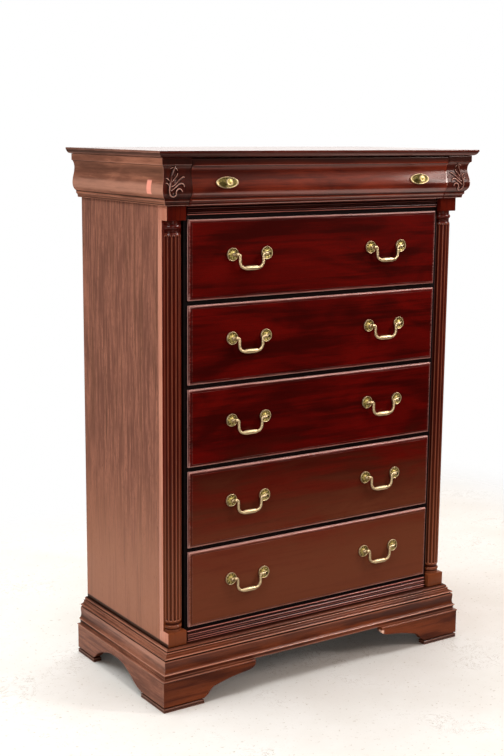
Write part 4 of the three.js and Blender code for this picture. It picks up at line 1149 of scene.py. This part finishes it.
def make_pulls():
    """A bail with its two rosettes at each end of each drawer front."""
    rosette = make_rosette()
    bail = make_bail()
    for n in DRAWERS:
        face = DRAWER_BOXES[n][0].y
        for side in SIDES:
            pull = f"drawer_{n}_{side}"
            z = sum(v.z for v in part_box(f"{pull}_rosette_outer")) / 2
            for place in ("outer", "inner"):
                node = f"{pull}_rosette_{place}"
                move = Matrix.Translation((middle_x(node), face, z))
                finished(copied(rosette, move), f"{pull}_{place}_rosette", f"drawer_{n}", "brass", brass,
                         node)
            node = f"{pull}_bail"
            move = Matrix.Translation((middle_x(node), face - PIVOT_OUT, z))
            finished(copied(bail, move), f"{pull}_cast_bail", node, "brass", brass, node)
    bpy.data.objects.remove(rosette)
    bpy.data.objects.remove(bail)


KNOB_LEAN = math.radians(10.87)
KNOB_Y, KNOB_Z = -0.23262, 1.3235


def make_knob():
    """An oval dished plate with a round knob, its back at y = 0 and its face towards -Y."""
    half_high, stretch, thickness = 0.014, 64 / 28, 0.003
    plate_sides, knob_sides = 72, 48
    reeds, reed_rise, reed_start, reed_end, dish_top = 16, 0.00025, 0.25, 0.85, 0.9
    dark_dish, dark_neck, brown_hollow = 0.72, 0.7, 0.4
    dish_depth, dish_half, neck_length, hollow_radius = 0.0022, 0.0118, 0.005, 0.0072
    rim = [(0, 0), (0.9, 0), (0.99, 0.05),
           *curve((1, 0.3), (0.995, 0.8), (0.95, 1.05), (0.9, 1), (0.86, 0.8), steps=3),
           *curve((0.82, 0.66), (0.6, 0.3), (0.3, 0.2), steps=3), (0, 0.18)]

    def on_plate(i, j):
        r, h = rim[i]
        angle = 2 * math.pi * j / plate_sides
        depth = h * thickness
        if reed_start < r < reed_end and h < dish_top:
            share = (r - reed_start) / (reed_end - reed_start)
            depth += reed_rise * math.cos(reeds * angle) * math.sin(math.pi * share)
        return r * half_high * stretch * math.cos(angle), -depth, r * half_high * math.sin(angle)

    plate = rolled(len(rim), plate_sides, on_plate)
    cap = [(0, 0.0004), (0.0062, 0.0004), (0.006, 0.0012),
           *curve((0.0048, 0.0024), (0.0044, 0.0046), (0.0062, 0.0068), (0.0086, 0.0088), (0.0095, 0.011),
                  (0.0094, 0.0128), (0.0086, 0.0142), steps=3),
           (0.0082, 0.0145), (0.0076, 0.0139),
           *curve((0.0068, 0.0136), (0.0045, 0.0139), (0.002, 0.0148), (0, 0.0151), steps=3)]

    def on_knob(i, j):
        r, h = cap[i]
        angle = 2 * math.pi * j / knob_sides
        return r * math.cos(angle), -h, r * math.sin(angle)

    def plate_age(co):
        in_dish = -co.y < dish_depth and math.hypot(co.x / stretch, co.z) < dish_half
        return dark_dish if in_dish else POLISHED

    def knob_age(co):
        if -co.y < neck_length:
            return dark_neck
        return brown_hollow if math.hypot(co.x, co.z) < hollow_radius else POLISHED

    knob = rolled(len(cap), knob_sides, on_knob)
    mark_hollows(plate, plate_age)
    mark_hollows(knob, knob_age)
    return assembled(plate, knob)


def make_knobs():
    """The two knobs of the frieze drawer, leaning back with its moulded face."""
    knob = make_knob()
    for side in SIDES:
        node = f"frieze_{side}_knob"
        move = Matrix.Translation((middle_x(node), KNOB_Y, KNOB_Z)) @ Matrix.Rotation(-KNOB_LEAN, 4, "X")
        finished(copied(knob, move), f"oval_knob_{side}", "frieze_drawer", "brass", brass, node)
    bpy.data.objects.remove(knob)


make_top_board()
make_cornice()
make_carved_blocks()
make_base_moulding()
make_corner_posts()
make_feet()
make_drawer_frame()
for number in DRAWERS:
    make_drawer_front(number)
    make_drawer_box(f"drawer_{number}_box", f"drawer_{number}", f"drawer_box_{number}")
make_frieze_front()
make_drawer_box("frieze_drawer_box", "frieze_drawer", "frieze_box")
make_pulls()
make_knobs()

# The panels are plain boards, so the CAD's own ones stay and only get their wood
CAD_BOARDS = {"side_panel_left": panel_wood, "side_panel_right": panel_wood, "back_panel": back_wood}
for board_node, board_finish in CAD_BOARDS.items():
    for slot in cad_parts[board_node].material_slots:
        slot.material = board_finish


# Floor, light and camera

FLOOR_RADIUS = 5.0
# The share of its plain colour in what the camera sees of the floor, whatever light falls there
FLOOR_GLOW = 0.02
CORNICE_PIECES = ("hidden_frieze_front", "acanthus_block_left", "acanthus_block_right", "moulded_top_board")
CAMERA_PLACE = (-2.05173, -2.98864, 1.45756)
CAMERA_YAW, CAMERA_PITCH, CAMERA_ROLL = math.radians(33.51927), math.radians(10.6562), math.radians(0.47614)
SENSOR = 36
# Focal length and height of the picture in pixels, from the fit to the photograph
FOCAL_PIXELS, PICTURE_HEIGHT = 1337.38, 756


def make_floor():
    """A pale stone floor that fades out to the front and right of the chest, behind it, and far off."""
    begin()
    bpy.ops.mesh.primitive_circle_add(vertices=96, radius=FLOOR_RADIUS, fill_type="NGON", location=(0, 0, 0))
    floor = bpy.context.object
    floor.name = "studio_floor"
    material = bpy.data.materials.new("pale studio floor")
    tree = Tree(material)
    place = tree.add("ShaderNodeTexCoord", out="Object")
    mottle = tree.noise(place, 3.0, detail=5.0, rough=0.6)
    specks = tree.noise(place, 90.0, detail=3.0, rough=0.6)
    cracks = tree.noise(place, 14.0, detail=6.0, rough=0.7, twist=1.5)
    shade = tree.blend((0.88, 0.865, 0.825), (0.95, 0.945, 0.92), tree.between(mottle, 0.3, 0.7))
    shade = tree.blend(shade, (0.45, 0.4, 0.32), tree.between(specks, 0.62, 0.7) * 0.5)
    vein = tree.between(abs(cracks - 0.5), 0.012, 0.002)
    shade = tree.blend(shade, (0.55, 0.51, 0.45), vein * tree.between(mottle, 0.5, 0.6) * 0.8)
    solid = tree.add("ShaderNodeBsdfPrincipled", None, {
        "Base Color": shade, "Roughness": 0.8, "Specular IOR Level": 0.2})
    glow = tree.add("ShaderNodeEmission", None, {"Color": shade, "Strength": 1.0})
    camera = tree.add("ShaderNodeLightPath", out="Is Camera Ray")
    lit = tree.add("ShaderNodeMixShader", None, {0: camera * FLOOR_GLOW, 1: solid, 2: glow})
    clear = tree.add("ShaderNodeBsdfTransparent")
    ahead = tree.toward(place, (0.61, -0.79, 0))
    away = tree.add("ShaderNodeVectorMath", {"operation": "LENGTH"}, {0: place}, "Value")
    east, north = (tree.along(place, letter) for letter in "XY")
    kept = (1 - tree.between(east, 1.3, 2.0)) * (1 - tree.between(north, 0.9, 1.6))
    gone = 1 - (1 - tree.between(ahead, 0.8, 1.8)) * (1 - tree.between(away, 2.5, 4.5)) * kept
    mixed = tree.add("ShaderNodeMixShader", None, {0: gone, 1: lit, 2: clear})
    tree.add("ShaderNodeOutputMaterial", None, {"Surface": mixed})
    floor.data.materials.append(material)
    return floor


def make_surroundings():
    """A dim studio that the camera sees as white.

    The drawer fronts reflect its dark end at the front right, and the polished top its bright wall behind.
    """
    world = bpy.context.scene.world or bpy.data.worlds.new("studio")
    bpy.context.scene.world = world
    tree = Tree(world)
    way = tree.add("ShaderNodeTexCoord", out="Generated")
    camera = tree.add("ShaderNodeLightPath", out="Is Camera Ray")
    dark_end = tree.between(tree.toward(way, (0.8, -0.6, 0)), 0.55, 0.88)
    wall = tree.between(tree.toward(way, (0.57, 0.82, 0)), 0.88, 0.97)
    light = tree.blend((0.39, 0.33, 0.28), (0.006, 0.005, 0.005), dark_end)
    light = tree.blend(light, (2.1, 2.07, 2.03), wall)
    seen = tree.blend(light, (1, 1, 1), camera)
    shader = tree.add("ShaderNodeBackground", None, {"Color": seen, "Strength": 1.0})
    tree.add("ShaderNodeOutputWorld", None, {"Surface": shader})


def make_lamp(name, place, target, size, power, tint=(1, 1, 1)):
    """A square or oblong soft lamp that shines from its place towards a target."""
    begin()
    bpy.ops.object.light_add(type="AREA", location=place)
    lamp = bpy.context.object
    lamp.name = name
    lamp.data.shape = "RECTANGLE"
    lamp.data.size, lamp.data.size_y = size
    lamp.data.energy = power
    lamp.data.color = tint
    lamp.visible_camera = False
    lamp.rotation_euler = (Vector(target) - Vector(place)).to_track_quat("-Z", "Y").to_euler()
    return lamp


def gathered(name, *pieces):
    """A collection that tells a lamp which pieces it lights."""
    collection = bpy.data.collections.new(name)
    for piece in pieces:
        collection.objects.link(piece)
    return collection


def make_lamps(floor):
    """Soft lamps round the chest, of which the three from the front and sides leave the floor out.

    The floor has a lamp of its own, and a low reflector shines only in the polish of the cornice and top.
    """
    key = make_lamp("key_softbox", (2.07, -1.49, 2.78), (0, -0.2, 0.8), (0.9, 0.9), 82)
    front = make_lamp("front_softbox", (-0.5, -4.2, 1.9), (0, -0.2, 1.1), (1.4, 2.0), 50)
    left = make_lamp("left_softbox", (-3.3, -1.7, 2.9), (-0.46, 0, 0.9), (1.2, 1.8), 104, (0.93, 0.97, 1))
    make_lamp("overhead_softbox", (0.1, 0.0, 3.4), (0.1, 0.0, 0), (2.3, 2.3), 103)
    make_lamp("strip_light", (3.0, -3.06, 2.45), (0.4, -0.23, 1.33), (0.2, 1.5), 62, (1, 0.88, 0.82))
    over_floor = make_lamp("floor_softbox", (-1.6, 0.3, 2.0), (-0.7, -0.1, 0), (1.2, 1.2), 22,
                           (0.93, 0.98, 1))
    left_out = gathered("floor, left out by the front and side lamps", floor)
    left_out.collection_objects[0].light_linking.link_state = "EXCLUDE"
    for lamp in (key, front, left):
        lamp.light_linking.receiver_collection = left_out
    over_floor.light_linking.receiver_collection = gathered("floor under its own lamp", floor)
    reflector = make_lamp("low_reflector", (0.95, -0.85, 0.4), (0.6, -0.6, 1.33), (1.5, 0.95), 23,
                          (1, 0.8, 0.72))
    reflector.visible_diffuse = False
    cornice = [bpy.data.objects[name] for name in CORNICE_PIECES]
    reflector.light_linking.receiver_collection = gathered("cornice over the low reflector", *cornice)


def make_camera():
    """The camera of the photograph, turned by its yaw, pitch and roll."""
    yaw, pitch, roll = CAMERA_YAW, CAMERA_PITCH, CAMERA_ROLL
    forward = Vector((math.sin(yaw) * math.cos(pitch), math.cos(yaw) * math.cos(pitch), -math.sin(pitch)))
    level = Vector((math.cos(yaw), -math.sin(yaw), 0))
    upright = level.cross(forward)
    right = math.cos(roll) * level + math.sin(roll) * upright
    up = -math.sin(roll) * level + math.cos(roll) * upright
    camera = bpy.data.objects.new("camera", bpy.data.cameras.new("camera"))
    bpy.context.scene.collection.objects.link(camera)
    camera.data.sensor_width = SENSOR
    camera.data.lens = SENSOR * FOCAL_PIXELS / PICTURE_HEIGHT
    turn = Matrix((right, up, -forward)).transposed().to_4x4()
    camera.matrix_world = Matrix.Translation(CAMERA_PLACE) @ turn
    bpy.context.scene.camera = camera


studio_floor = make_floor()
make_surroundings()
make_lamps(studio_floor)
make_camera()
bpy.context.scene.view_settings.view_transform = "Standard"
